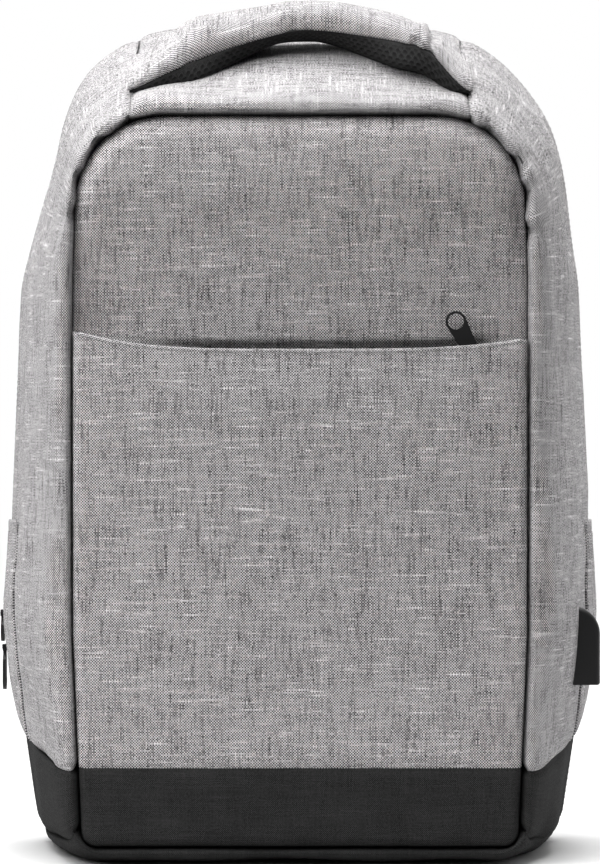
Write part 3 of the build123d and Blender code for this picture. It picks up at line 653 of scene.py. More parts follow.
# ------------------------------------------------------------------ front panel, pocket and dark band
class Outline:
    """One cross-section outline of the bag, with what is needed to lay cloth inside it."""

    def __init__(self, row):
        self.half = half_outline(row)
        self.loop = np.concatenate([self.half, self.half[::-1][1:-1] * (-1, 1)])
        s = arc_lengths(self.half)
        self.side = self.half[(s > 60) & (s < s[-1] - 40)]

    def width(self, z):
        return np.interp(z, self.side[:, 1], self.side[:, 0])

    def distance(self, x, z):
        a, b = self.loop, np.roll(self.loop, -1, axis=0)
        best = np.full(x.shape, 1e9)
        for (ax, az), (dx, dz) in zip(a, b - a):
            t = np.clip(((x - ax) * dx + (z - az) * dz) / max(dx * dx + dz * dz, 1e-9), 0, 1)
            best = np.minimum(best, np.hypot(x - ax - t * dx, z - az - t * dz))
        return best

    def grid(self, z_low, z_high, columns, rows):
        """Row-wise grid inside the outline between two heights; z_high may be a function of x."""
        u = np.linspace(-1, 1, columns)
        u = np.sign(u) * (1 - (1 - np.abs(u)) ** 1.25)           # finer near the edges
        x, z = np.zeros((columns, rows)), np.zeros((columns, rows))
        for j, f in enumerate(np.linspace(0, 1, rows)):
            guess = np.full(columns, float(z_low))
            for _ in range(4):
                top = z_high(u * self.width(guess)) if callable(z_high) else z_high
                guess = z_low + (top - z_low) * f
            z[:, j], x[:, j] = guess, u * self.width(guess)
        return x, z


def quarter(d, radius):
    """Rise of a rounded edge at distance d from it."""
    return np.sqrt(np.clip(1 - (1 - np.clip(d / radius, 0, 1)) ** 2, 0, 1))


MOUTH_MID, MOUTH_RIGHT, MOUTH_LEFT = 247.5, 253.0, 257.0
PANEL_Y, POCKET_Y, EDGE_R = -67.5, -70.5, 5.0
PILLOW_Z, FRONT_LOW, FRONT_HIGH = 262, 8.6, 361.3
seam = Outline(SHELL_ROWS[1])


def mouth_z(x):
    """Height of the pocket's mouth, which dips in the middle."""
    rise = np.where(x > 0, MOUTH_RIGHT, MOUTH_LEFT) - MOUTH_MID
    return MOUTH_MID + rise * (np.abs(x) / 110.0) ** 3.8


def front_cloth(name, x, z, y, thickness, materials, part):
    """One panel of the front, which faces -Y. Gives the piece, its points and their outward normals."""
    p = coords(x, y, z)
    outward = -facing(p, 1)
    piece = shell(name, p, coords(x + 400.0 * part, z, 0.0), thickness, materials, outward=outward)
    return piece, p, grid_normals(p) * outward


x, z = seam.grid(FRONT_LOW, FRONT_HIGH, 120, 190)
d = seam.distance(x, z)
y = PANEL_Y - (2.5 + 3.5 * smooth((z - 290) / 50)) * quarter(d, EDGE_R)
pillow = smooth((z - PILLOW_Z) / 30) * smooth(d / 45)
y -= 6.4 * bump(z - 336.0, 46.0) * smooth((z - PILLOW_Z) / 30) * smooth(d / 10)
y -= 0.6 * pillow + 0.5 * pillow * waves(coords(x, z), 90.0, 3)
gape = smooth((x + 85) / 60) * smooth((100 - x) / 35)
above = z - mouth_z(x)
y += 7.0 * gape * smooth((4.6 - above) / 3.2) * smooth((above + 7.5) / 4.0)
piece, *_ = front_cloth("front_panel_cloth", x, z, y, 2.0, CLOTH, 1)
dress(piece, "bag", "grey_melange", "front_panel")


def pocket_y(x, z):
    """Depth of the pocket's and the dark band's cloth."""
    d = seam.distance(x, z)
    puff = 0.9 * smooth(d / 60) + 0.35 * waves(coords(x, z), 110.0, 8) * smooth(d / 40)
    mouth = smooth((z - mouth_z(x) + 26) / 26)
    return POCKET_Y - 8.6 * quarter(d, EDGE_R) - puff * (1 - 0.75 * mouth) + 0.4 * mouth


x, z = seam.grid(DARK_Z, mouth_z, 120, 120)
y = pocket_y(x, z) + 1.1 * bump(z - DARK_Z, 1.8)
piece, p, n = front_cloth("front_pocket_cloth", x, z, y, 1.0, CLOTH, 0)
dress(piece, "bag", "grey_melange", "front_pocket_panel")
j = np.searchsorted(z[60], DARK_Z + 4.6)
sew("bag_grey", p[3:-3, j], n[3:-3, j])

x, z = seam.grid(FRONT_LOW, DARK_Z, 110, 34)
y = pocket_y(x, z) + 1.1 * bump(z - DARK_Z, 1.8)
piece, *_ = front_cloth("front_band_cloth", x, z, y, 1.6, DARK, 2)
dress(piece, "bag", "charcoal_fabric", "front_base_band")


def directions(path, closed):
    """Unit direction of a path at each of its points."""
    ahead = np.roll(path, -1, axis=0) - np.roll(path, 1, axis=0) if closed else np.gradient(path, axis=0)
    return ahead / np.linalg.norm(ahead, axis=1, keepdims=True)


def tube(points, radius, sides, closed=False):
    """Round cord along points. Returns vertices and faces."""
    ahead = directions(points, closed)
    up = np.array([0.0, 0.0, 1.0]) if abs(ahead[0, 2]) < 0.9 else np.array([0.0, 1.0, 0.0])
    angle = np.linspace(0, 2 * PI, sides, endpoint=False)[:, None]
    rings = []
    for point, forward in zip(points, ahead):
        up = up - forward * (up @ forward)
        up /= np.linalg.norm(up)
        rings.append(point + radius * (np.cos(angle) * up + np.sin(angle) * np.cross(forward, up)))
    return np.concatenate(rings), ring_faces(len(points), sides, closed)


# rolled hem along the pocket mouth
xs = np.linspace(-106.4, 106.4, 150)
hem = coords(xs, pocket_y(xs, mouth_z(xs)) + 0.9, mouth_z(xs) - 0.2)
verts, faces = tube(hem, 1.25, 12)
fabric = np.repeat(coords(xs, hem[:, 2], 0.0), 12, axis=0)
fabric[:, 1] += np.tile(np.linspace(0, 7.8, 12, endpoint=False), 150)
dress(make_object("pocket_hem", verts, faces, fabric, None, (melange,)), "bag", "grey_melange")


# ------------------------------------------------------------------ bands, loops and teeth
def rounded(width, thick, count, square):
    """Closed section across a band: (count, 2) of across and outward, from +across round to outward."""
    a = np.linspace(0, 2 * PI, count, endpoint=False)
    c, s = np.cos(a), np.sin(a)
    return coords(width / 2 * np.sign(c) * np.abs(c) ** (2 / square), thick / 2 * np.sign(s) * np.abs(s) ** (2 / 2.6))


def frames(path, side=(1.0, 0.0, 0.0), closed=False):
    """Across and outward directions at each point of a path, with across kept nearest to side."""
    ahead = directions(path, closed)
    side = np.asarray(side, float)
    across = side - ahead * (ahead @ side)[:, None]
    across /= np.linalg.norm(across, axis=1, keepdims=True)
    return across, np.cross(ahead, across)


def skin(name, rings, materials, fabric=None, closed=False, pick=None, hole_shade=None):
    """Closed skin over rings (N, M, 3); pick gives each of the M strips its material, and hole depths, if given,
    become painted shade in the spacer's holes.
    """
    n, m = rings.shape[:2]
    faces = ring_faces(n, m, closed)
    index = [0 if pick is None else pick[q] for _ in range(n if closed else n - 1) for q in range(m)]
    index += [0] * (len(faces) - len(index))
    if fabric is None:
        fabric = coords(arc_lengths(rings[n // 2])[None, :], arc_lengths(rings[:, 0])[:, None], 0.0)
    piece = make_object(name, rings.reshape(-1, 3), faces, fabric.reshape(-1, 3), index, materials)
    if hole_shade is not None:
        set_hole_shade(piece, hole_shade)
    return turn_outward(piece)


def turn_outward(piece):
    """Turns the faces of a closed piece outwards."""
    work = bmesh.new()
    work.from_mesh(piece.data)
    bmesh.ops.recalc_face_normals(work, faces=work.faces)
    work.to_mesh(piece.data)
    work.free()
    return piece


# cloth simulation: frames, pressure, voxel size in mm, and how far points may move in mm
SIM_FRAMES, SIM_PRESSURE, SIM_VOXEL = 20, 40.0, 4.5
GRIP_SWELL, PAD_SWELL, STRAP_SWELL = 0.9, 2.4, 1.0


def kd_tree(points):
    tree = KDTree(len(points))
    for k, p in enumerate(points):
        tree.insert(p, k)
    tree.balance()
    return tree


def vertex_places(mesh):
    """A mesh's vertices in mm."""
    places = np.zeros(len(mesh.vertices) * 3)
    mesh.vertices.foreach_get("co", places)
    return places.reshape(-1, 3) / MM


def inflate(name, verts, faces, sewn, cap):
    """Swells a pad's plain shape with Blender's cloth. Gives a function for how far points in mm move with it.
    sewn tells which points are held by a seam, and no point moves further than about cap."""
    trial = make_object(name, verts, faces)
    scene = bpy.context.scene
    remesh = trial.modifiers.new("remesh", "REMESH")
    remesh.mode, remesh.voxel_size = "VOXEL", SIM_VOXEL * MM
    coarse = bpy.data.meshes.new_from_object(trial.evaluated_get(bpy.context.evaluated_depsgraph_get()))
    trial.modifiers.clear()
    trial.data = coarse
    start = vertex_places(coarse)
    seam_group = trial.vertex_groups.new(name="sewn")
    seam_group.add(np.flatnonzero(sewn(start)).tolist(), 1.0, "REPLACE")
    cloth = trial.modifiers.new("cloth", "CLOTH")
    cloth.settings.vertex_group_mass = "sewn"
    cloth.settings.use_pressure = True
    cloth.settings.uniform_pressure_force = SIM_PRESSURE
    cloth.settings.effector_weights.gravity = 0.0
    cloth.point_cache.frame_start, cloth.point_cache.frame_end = 1, SIM_FRAMES
    for frame_number in range(1, SIM_FRAMES + 1):
        scene.frame_set(frame_number)
    moved = vertex_places(trial.evaluated_get(bpy.context.evaluated_depsgraph_get()).to_mesh()) - start
    bpy.data.objects.remove(trial)
    scene.frame_set(1)
    length = np.linalg.norm(moved, axis=1, keepdims=True)
    moved *= cap * np.tanh(length / cap) / np.maximum(length, 1e-6)
    tree = kd_tree(start)

    def shift(points):
        flat = points.reshape(-1, 3)
        out = np.zeros_like(flat)
        for k, p in enumerate(flat):
            found = tree.find_n(p, 8)
            weight = np.array([1 / (d + 0.5) ** 2 for _, _, d in found])
            out[k] = weight @ moved[[i for _, i, _ in found]] / weight.sum()
        return out.reshape(points.shape)

    return shift


def sections(path, across, out, widths, thicks, count, square):
    """Closed sections of a band at each point of a path, whose two directions are given."""
    return np.stack([p + rounded(w, t, count, square) @ np.stack([a, o])
                     for p, w, t, a, o in zip(path, widths, thicks, across, out)])


def band(name, path, width, thick, material, side=(1.0, 0.0, 0.0), closed=False, count=28, square=4.0):
    """Flat band of one material along a path."""
    across, out = frames(path, side, closed)
    rings = sections(path, across, out, np.full(len(path), width), np.full(len(path), thick), count, square)
    return skin(name, rings, (material,), closed=closed)


def even(path, step):
    """The same path with its points evenly spaced."""
    s = arc_lengths(path)
    return at(path, s, np.linspace(0, s[-1], max(4, int(s[-1] / step))))


def curve(points, step):
    """Smooth path through points, evenly spaced."""
    pts = np.asarray(points, float)
    return even(np.array([catmull(pts, t) for t in np.linspace(0, len(pts) - 1, 40 * len(pts))]), step)


def rounded_path(points, radius, step):
    """Path with straight runs and rounded corners, evenly spaced, in any number of axes."""
    return even(fillet_path(points, [radius] * (len(points) - 2), 0.6), step)


TOOTH_RINGS = np.array([(-0.5, 0.5, 0.0), (-0.42, 0.95, 0.0), (0.1, 0.8, 0.12), (0.38, 1.2, 0.2), (0.5, 0.55, 0.2)])


def teeth(name, path, direction, out, length, pitch, radius, shift):
    """Row of moulded zip teeth across a path, each a small rounded bar with a bulged head."""
    f, r, lift = TOOTH_RINGS.T[..., None]

    def rings(middle, ahead, n):
        return middle + direction * f * length + n * lift * radius, radius * r, ahead

    places = shift + (np.arange(int((arc_lengths(path)[-1] - shift) / pitch)) + 0.5) * pitch
    verts, faces = bars(path, out, places, 0.3, rings)
    return turn_outward(make_object(name, verts, faces, materials=(coil_nylon,)))


def pits(u, v, pitch=3.3, row=2.0, wide=0.95, tall=0.75):
    """Depth share of the holes of spacer mesh: staggered ovals, 1 in a hole and 0 between."""
    j = np.round(v / row)
    shifted = u - (j % 2) * pitch / 2
    du = shifted - np.round(shifted / pitch) * pitch
    return smooth((1.25 - np.hypot(du / wide, (v - j * row) / tall)) / 0.6)


# ------------------------------------------------------------------ handle
GRIP_END = 83.5
GRIP_TOP, MESH_ACROSS = 44, 84        # points over the top of a grip section, and across the mesh under it
# the fabric folds over itself near the right end: x at height FOLD_Z, lean and depth of each fold
FOLD_Z = 396
FOLDS = ((64.0, 0.35, 2.6), (56.0, 0.8, 0.9))
# height of the handle's front lower edge along x; the right end is gathered up in a fold
EDGE_X = (-86, -82, -60, -49, -32, -13, 0, 15, 34, 53, 62, 68, 74, 82, 86)
EDGE_Z = (372.0, 373.4, 384.7, 390.2, 397.1, 402.8, 405.4, 404.9, 401.8, 397.4, 395.0, 388.0, 378.0, 373.0, 371.0)


def handle_front(x):
    """Depth of the handle's front lower edge."""
    return -41.0 - 25.0 * smooth((np.abs(x) - 18.0) / 66.0)


def handle_line(x):
    """Front and rear lower edges and thickness of the handle at x."""
    front_y = handle_front(x)
    front_z = sum(np.interp(x + d, EDGE_X, EDGE_Z) for d in (-6, -3, 0, 3, 6)) / 5
    thick = 14.2 - 6.5 * smooth((abs(x) - 40.0) / 44.0) + 1.6 * bump(x, 38.0) + 3.9 * bump(x + 54.0, 12.0)
    return front_y, front_z, -6.5, 406.4 - 0.0021 * x * x, thick


def grip_ring(x):
    """Section of the handle's padding at x, over the top from front to rear and back below."""
    fy, fz, ry, rz, thick = handle_line(x)
    t = np.linspace(0, 1, GRIP_TOP)
    f = (1 - np.cos(PI * t)) / 2
    arch = (1 - np.abs(2 * f - 1) ** 2.6) ** (1 / 2.1)
    top = coords(x, fy + (ry - fy) * f, fz + (rz - fz) * f + thick * arch)
    top[:, 1] += np.where(f < 0.5, -1, 1) * 1.6 * np.sin(PI * np.clip(arch, 0, 1)) * 0.9
    g = np.linspace(1, 0, GRIP_TOP // 2)[1:-1]
    return np.concatenate([top, coords(x, fy + (ry - fy) * g, fz + (rz - fz) * g + 1.2)])


grip = np.stack([grip_ring(x) for x in np.linspace(-GRIP_END, GRIP_END, 90)])
grip_shift = inflate("grip_trial", grip.reshape(-1, 3), ring_faces(*grip.shape[:2]),
                     lambda p: (np.abs(p[:, 0]) > GRIP_END - 5) | (p[:, 1] < handle_front(p[:, 0]) + 3.5)
                     | (p[:, 1] > -10) & (p[:, 2] < 411), GRIP_SWELL)


def padded_handle(side, sign):
    """Half of the handle: its cloth, and the spacer mesh under it."""
    xs = np.concatenate([np.linspace(GRIP_END, 0.2, 62), [0.0]]) * sign
    rings = np.stack([grip_ring(x) for x in xs])
    rings[:, 2:GRIP_TOP - 2] += grip_shift(rings[:, 2:GRIP_TOP - 2])
    n = grid_normals(rings)
    n *= np.sign(np.mean(n[:, 10:30, 2]))
    uneven = 0.3 * waves(rings, 40.0, 61) + 0.15 * waves(rings, 15.0, 62)
    push = uneven * smooth((GRIP_END - np.abs(rings[..., 0])) / 12)
    front = smooth((-(rings[..., 1]) - 18) / 16)
    if sign > 0:
        for fold_x, lean, deep in FOLDS:
            from_fold = rings[..., 0] - fold_x - lean * (rings[..., 2] - FOLD_Z)
            push -= deep * bump(from_fold, 2.4) * front
            push += 1.3 * bump(from_fold + 5, 3.0) * front
    else:
        push -= 1.2 * bump(rings[..., 0] + 58.0 + 0.5 * (rings[..., 2] - FOLD_Z), 2.6) * front
    push -= 0.9 * bump(rings[..., 0] + 2.0 - 0.3 * (rings[..., 2] - 410), 2.2) * front      # crease at the crown
    rings = rings + n * push[..., None] * (np.arange(rings.shape[1]) < GRIP_TOP)[None, :, None]
    cloth_piece = skin(f"handle_cloth_{side}", rings, (melange,),
                       coords(np.abs(xs)[:, None] * sign, arc_lengths(rings[30])[None, :], 0.0))
    xs = np.linspace(82.5, 0.0, 184) * sign
    rings = []
    for x in xs:
        fy, fz, ry, rz, thick = handle_line(x)
        g = (1 - np.cos(PI * np.linspace(0.02, 0.98, MESH_ACROSS))) / 2
        full = smooth((abs(x) - 6.0) / 45.0)
        sag = (4.8 + 9.5 * full) * (1 - 0.7 * smooth((abs(x) - 72) / 11)) * (1 - np.abs(2 * g - 1) ** 3.5) ** 0.5
        belly = 9.0 * smooth((abs(x) - 26.0) / 25.0) * (1 - 0.75 * smooth((abs(x) - 50) / 24))
        belly = belly * np.sin(PI * np.clip(g / 0.5, 0, 1)) ** 0.8
        low = coords(x, fy + (ry - fy) * g - belly, fz + (rz - fz) * g + 0.6 - sag)
        back = np.linspace(low[-1], low[0], 14)[1:-1]
        rings.append(np.concatenate([low, back + (0, 0, 2.2)]))
    rings = np.stack(rings)
    across = arc_lengths(rings[90, :MESH_ACROSS])
    hole = np.zeros(rings.shape[:2])
    hole[:, :MESH_ACROSS] = pits(xs[:, None], across[None, :], 3.4, 2.1, 1.15, 0.85)
    hole[:, :MESH_ACROSS] *= smooth((across - 1.2) / 1.5) * smooth((across[-1] - 1.2 - across) / 1.5)
    rings[..., 2] += 1.25 * hole
    fabric = np.zeros_like(rings)
    fabric[..., 0] = xs[:, None]
    fabric[:, :MESH_ACROSS, 1] = across
    # the hole depths also give the spacer's painted shade in its holes
    mesh_piece = skin(f"handle_spacer_{side}", rings, (spacer,), fabric, hole_shade=hole)
    for piece, slot in ((cloth_piece, "grey_melange"), (mesh_piece, "spacer_mesh")):
        stretch(piece)
    return mesh_piece


handle_meshes = [padded_handle(side, sign) for side, sign in SIDES]
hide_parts("handle_grip", "handle_mesh", "handle_root_left", "handle_root_right")


# ------------------------------------------------------------------ side pockets
PROBE_COLUMN = 40         # column of a gusset whose depths stand for those of its rows


def shell_x(grid, y, z):
    """Half-width of the front shell's cloth at depths y and heights z."""
    rows = np.flatnonzero(grid[PROBE_COLUMN, :, 1] > -40)
    table_y = grid[PROBE_COLUMN, rows, 1]
    y, z = np.broadcast_arrays(y, z)
    out = np.zeros(y.shape)
    for k, (yy, zz) in enumerate(zip(y.ravel(), z.ravel())):
        j = min(max(np.searchsorted(table_y, yy), 1), len(rows) - 1)
        f = np.clip((yy - table_y[j - 1]) / (table_y[j] - table_y[j - 1]), 0, 1)
        a, b = (np.interp(zz, grid[:, rows[i], 2], np.abs(grid[:, rows[i], 0])) for i in (j - 1, j))
        out.ravel()[k] = a + (b - a) * f
    return out


def gathers(y):
    """Pleats where elastic draws the side pocket's mouth together."""
    return np.sin(y * 2 * PI / 7.5 + 0.8 * np.sin(y / 5))


POCKET_BACK, POCKET_FRONT, POCKET_TOP = 39.5, -9.0, 158.0
for side, sign in SIDES:
    grid = gusset_grids[side]
    y, share = np.meshgrid(np.linspace(POCKET_FRONT, POCKET_BACK, 56), np.linspace(0, 1, 84), indexing="ij")
    foot = DARK_Z + DARK_RISE * (y - DARK_Y) + 0.3
    z = foot + (POCKET_TOP - foot) * share
    edge = np.minimum(y - POCKET_FRONT, POCKET_BACK - y)
    full = smooth(edge / 16) * smooth((z - foot) / 14) * (0.35 + 0.65 * smooth((POCKET_TOP - z) / 34))
    x = shell_x(grid, y, z) + 0.7 + 1.0 * quarter(edge, 3.0) * smooth((z - foot) / 6) + 2.5 * full
    x += 0.45 * gathers(y) * bump(POCKET_TOP - z, 16) + 0.35 * waves(coords(y, z), 38.0, 71 + sign) * full
    p = coords(sign * x, y, z)
    piece = shell(f"side_pocket_{side}_cloth", p, coords(y + 900.0, z, 0.0), 1.0, CLOTH, outward=facing(p, 0) * sign)
    dress(piece, "bag", "grey_melange", f"side_pocket_{side}")
    y = np.linspace(POCKET_FRONT + 0.4, POCKET_BACK - 0.4, 60)
    path = coords(sign * (shell_x(grid, y, 160.5) + 0.9 + 0.25 * gathers(y)), y, 160.6)
    piece = band(f"pocket_elastic_{side}_tape", path, 7.0, 1.3, melange, side=(0, 0, 1), square=6.0)
    dress(piece, "bag", "binding", f"pocket_elastic_{side}")

# ------------------------------------------------------------------ zips
zip_half = half_outline(SHELL_ROWS[-1])
zip_s = arc_lengths(zip_half)
zip_start = crossing(zip_half, zip_s, 1, 35.0)
zip_side = at(zip_half, zip_s, np.linspace(zip_start, zip_s[-1], 330))
zip_arch = np.concatenate([zip_side, (zip_side * (-1, 1))[::-1][1:]])
zip_out = coords(np.gradient(zip_arch[:, 1]), -np.gradient(zip_arch[:, 0]))
zip_out /= np.linalg.norm(zip_out, axis=1, keepdims=True)
zip_out3 = coords(zip_out[:, 0], 0.0, zip_out[:, 1])


def zip_path(inset, y):
    """The main zip's path, moved inwards from the outline and set at depth y."""
    arch = zip_arch - zip_out * inset
    return coords(arch[:, 0], y, arch[:, 1])


for name, low, high, body in (("front", 41.6, 44.0, "bag"), ("rear", 45.5, 48.0, "back_panel")):
    piece = band(f"zip_tape_{name}", zip_path(1.3, (low + high) / 2)[::2], high - low, 0.9, tape_cloth, side=(0, 1, 0),
                 count=12)
    dress(piece, body, "zip_tape", f"main_zip_tape_{name}")
for name, middle, reach, body, shift in (("front", 44.3, 1.0, "bag", 0.0), ("rear", 45.2, -1.0, "back_panel", 0.75)):
    piece = teeth(f"zip_teeth_{name}", zip_path(1.1, middle), np.array([0, reach, 0]), zip_out3, 1.8, 1.5, 0.52, shift)
    dress(piece, body, "zip_coil", f"main_zip_coil_{name}")

POCKET_ZIP_Z, POCKET_TAPE_Y, POCKET_TEETH_Y = 240.0, -72.1, -71.5
xs = np.linspace(-99.0, 99.0, 90)
pocket_out = np.tile((0.0, -1.0, 0.0), (90, 1))
for k, (low, high) in enumerate(((POCKET_ZIP_Z - 6.0, POCKET_ZIP_Z - 0.9), (POCKET_ZIP_Z + 0.9, POCKET_ZIP_Z + 5.6))):
    piece = band(f"pocket_zip_tape_{k}", coords(xs, POCKET_TAPE_Y, (low + high) / 2), high - low, 0.8, tape_cloth,
                 side=(0, 0, 1), count=12)
    dress(piece, "bag", "zip_tape", *(("pocket_zip_tapes",) if k == 0 else ()))
for k, (reach, shift) in enumerate(((1.0, 0.0), (-1.0, 0.65))):
    piece = teeth(f"pocket_zip_teeth_{k}", coords(xs, POCKET_TEETH_Y, POCKET_ZIP_Z - 0.4 * reach),
                  np.array([0, 0, reach]), pocket_out, 1.9, 1.3, 0.42, shift)
    dress(piece, "bag", "zip_coil", *(("pocket_zip_coil",) if k == 0 else ()))

# ------------------------------------------------------------------ rear panel
LOOP, RIM = 460, 30       # points round the rear gusset and across it
REAR_PROBE = 100          # point round it where the distances across are measured
REAR_SEAM = 20            # point across it where it is stitched
rear_p, rear_s = np.zeros((LOOP, RIM, 3)), np.zeros((LOOP, RIM))
for j, t in enumerate(np.linspace(0, len(REAR_ROWS) - 1, RIM)):
    row = catmull(REAR_ROWS, t)
    path = half_outline(row)
    s = arc_lengths(path)
    where = np.linspace(0, s[-1], LOOP // 2 + 1)
    xz = at(path, s, where)
    x, z = np.concatenate([xz, (xz * (-1, 1))[::-1][1:-1]]).T
    rear_p[:, j] = coords(x, row[0], z)
    above = where - crossing(path, s, 1, Z_WIDE)
    rear_s[:, j] = np.concatenate([above, above[::-1][1:-1]])
rear_d = arc_lengths(rear_p[REAR_PROBE])
n = outward_normals(rear_p)
rear_p = rear_p + n * (0.35 * waves(rear_p, 40.0, 81) * smooth((rear_d - 3) / 4)[None])[..., None]
rings = np.concatenate([rear_p, (rear_p - n * 2.0)[:, ::-1]], axis=1)
fabric = np.zeros_like(rings)
fabric[:, :RIM, 0], fabric[:, RIM:, 0] = rear_d + 260, rear_d[::-1] + 300
fabric[:, :RIM, 1], fabric[:, RIM:, 1] = rear_s, rear_s[:, ::-1]
piece = skin("rear_gusset_cloth", rings, CLOTH, fabric, closed=True, pick=[0] * RIM + [1] * (RIM - 1) + [0])
dress(piece, "back_panel", "grey_melange", "rear_gusset")
sew("back_panel_grey", *(np.concatenate([grid[:, REAR_SEAM], grid[:1, REAR_SEAM]]) for grid in (rear_p, n)))

board = Outline(REAR_ROWS[-1])
x, z = board.grid(10.6, 405.2, 190, 290)
d = board.distance(x, z)
hole = pits(x, z, 4.6, 2.7, 1.4, 1.0) * smooth((d - 3) / 2)
y = 59.6 + 1.9 * quarter(d, 6.0) + 0.35 * waves(coords(x, z), 90.0, 83) - 0.8 * hole
p = coords(x, y, z)
piece = shell("back_panel_mesh", p, coords(x, z, 0.0), 1.8, (spacer, lining), outward=facing(p, 1))
# the holes are pressed in and also get the spacer's painted shade
set_hole_shade(piece, [hole, 0 * hole])
dress(piece, "back_panel", "spacer_mesh", "back_board")

BOARD_Y = 61.0
PAD_MID, PAD_HALF, PAD_R, PAD_Z = 83.0, 33.0, 16.0, (58.0, 352.0)
PAD_MID_Z, PAD_HALF_Z = (PAD_Z[0] + PAD_Z[1]) / 2, (PAD_Z[1] - PAD_Z[0]) / 2
PAD_BACK, PAD_UNDER = 57.0, 60.2        # depths of the swelling shape's back and of the finished pad's underside


def pad_edge(x, z):
    """Distance inwards from the pad's rounded edge."""
    qx, qz = np.abs(x) - (PAD_HALF - PAD_R), np.abs(z - PAD_MID_Z) - (PAD_HALF_Z - PAD_R)
    return PAD_R - np.hypot(np.maximum(qx, 0), np.maximum(qz, 0)) - np.minimum(np.maximum(qx, qz), 0)


PAD_CHANNELS = np.arange(107.0, 320.0, 49.0)
PAD_START = 7.6           # crown of a pad in mm before it swells


def channel_z(x, seam_z):
    """Height of a quilting seam across a pad at x from the pad's middle."""
    return seam_z + 6.0 * (1 - (x / PAD_HALF) ** 2)


def pad_sewn(p, sign):
    """Points of a pad held down: its back, its edge and its quilting seams."""
    x = p[:, 0] - sign * PAD_MID
    seam_near = np.min([np.abs(p[:, 2] - channel_z(x, seam_z)) for seam_z in PAD_CHANNELS], axis=0)
    return (p[:, 1] < 60.0) | (pad_edge(x, p[:, 2]) < 3.0) | (seam_near < 2.4)


for side, sign in SIDES:
    zs = np.linspace(*PAD_Z, 300) - PAD_MID_Z
    zs = np.clip(PAD_MID_Z + zs * (1 - 0.02 * np.cos(zs / PAD_HALF_Z * PI)), *PAD_Z)
    end = np.minimum(zs - PAD_Z[0], PAD_Z[1] - zs)
    half = PAD_HALF - PAD_R + PAD_R * quarter(end, PAD_R)
    u = np.linspace(-1, 1, 74)
    x = u[:, None] * half[None, :]
    z = np.broadcast_to(zs, x.shape).copy()
    d = pad_edge(x, z)
    from_channel = np.full(x.shape, 99.0)
    for seam_z in PAD_CHANNELS:
        from_channel = np.minimum(from_channel, np.abs(z - channel_z(x, seam_z)))
    height = PAD_START * quarter(d, 8.5) - 3.0 * np.exp(-from_channel / 4.5) * smooth(d / 5)
    plain_pad = coords(x + sign * PAD_MID, BOARD_Y + np.maximum(height, 0), z)
    both = np.concatenate([plain_pad.reshape(-1, 3), coords(plain_pad[..., 0], PAD_BACK, z).reshape(-1, 3)])
    pad_shift = inflate(f"pad_trial_{side}", both, np.concatenate(sheet_faces(*x.shape, 1)),
                        lambda p: pad_sewn(p, sign), PAD_SWELL)
    height = height + pad_shift(plain_pad)[..., 1] * smooth(d / 4)
    height -= 1.6 * np.exp(-from_channel / 1.6) * smooth(d / 5)
    height += 0.5 * waves(coords(x * sign, z), 36.0, 91 + sign) * smooth(d / 8)
    hole = pits(x, z, 3.6, 2.1, 1.0, 0.75) * smooth((d - 2) / 2)
    p = coords(x + sign * PAD_MID, BOARD_Y + np.maximum(height, 0) - 0.9 * hole, z)
    piece = shell(f"back_pad_{side}_mesh", p, coords(x + 300, z, 0.0), 0.0, (spacer, spacer), outward=facing(p, 1),
                  inner=coords(p[..., 0], PAD_UNDER, z))
    # the holes are pressed in and also get the spacer's painted shade
    set_hole_shade(piece, [hole, 0 * hole])
    dress(piece, "back_panel", "spacer_mesh", f"back_pad_{side}")
    edge_path = fillet_path([(0, PAD_Z[0]), (PAD_HALF, PAD_Z[0]), (PAD_HALF, PAD_Z[1]), (0, PAD_Z[1])], [PAD_R, PAD_R])
    loop = np.concatenate([edge_path, (edge_path * (-1, 1))[::-1][1:-1]])
    verts, faces = tube(coords(loop[:, 0] + sign * PAD_MID, 61.6, loop[:, 1]), 1.5, 10, closed=True)
    piece = turn_outward(make_object(f"pad_piping_{side}", verts, faces, verts, None, (binding,)))
    dress(piece, "back_panel", "binding")


def sew_back(points):
    """Dark stitches on the back panel, which face rearwards."""
    sew("back_panel_dark", points, np.tile((0.0, 1.0, 0.0), (len(points), 1)), radius=0.35)


# trolley strap across the back
leg = 125.0
y_at, z_low, z_high = ((-leg, 61.9), (-leg + 7, 62.2), (-leg + 12, 72.4)), 153.0, 192.0
path = rounded_path([*y_at, *((-x, y) for x, y in y_at[::-1])], 4.0, 2.0)
middle = coords(path[:, 0], path[:, 1], 172.5)
piece = band("trolley_strap_cloth", middle, 45.0, 1.7, charcoal, side=(0, 0, 1), count=64, square=12.0)
dress(piece, "back_panel", "charcoal_fabric", "trolley_strap")
for z in (z_low, z_high):
    sew_back(coords(path[14:-14, 0], path[14:-14, 1] + 0.85, z))
for sign in (-1, 1):
    for x in (leg - 1.5, leg - 5.5):
        sew_back(coords(sign * x, 63.0, np.linspace(z_low - 1, z_high + 1, 12)))

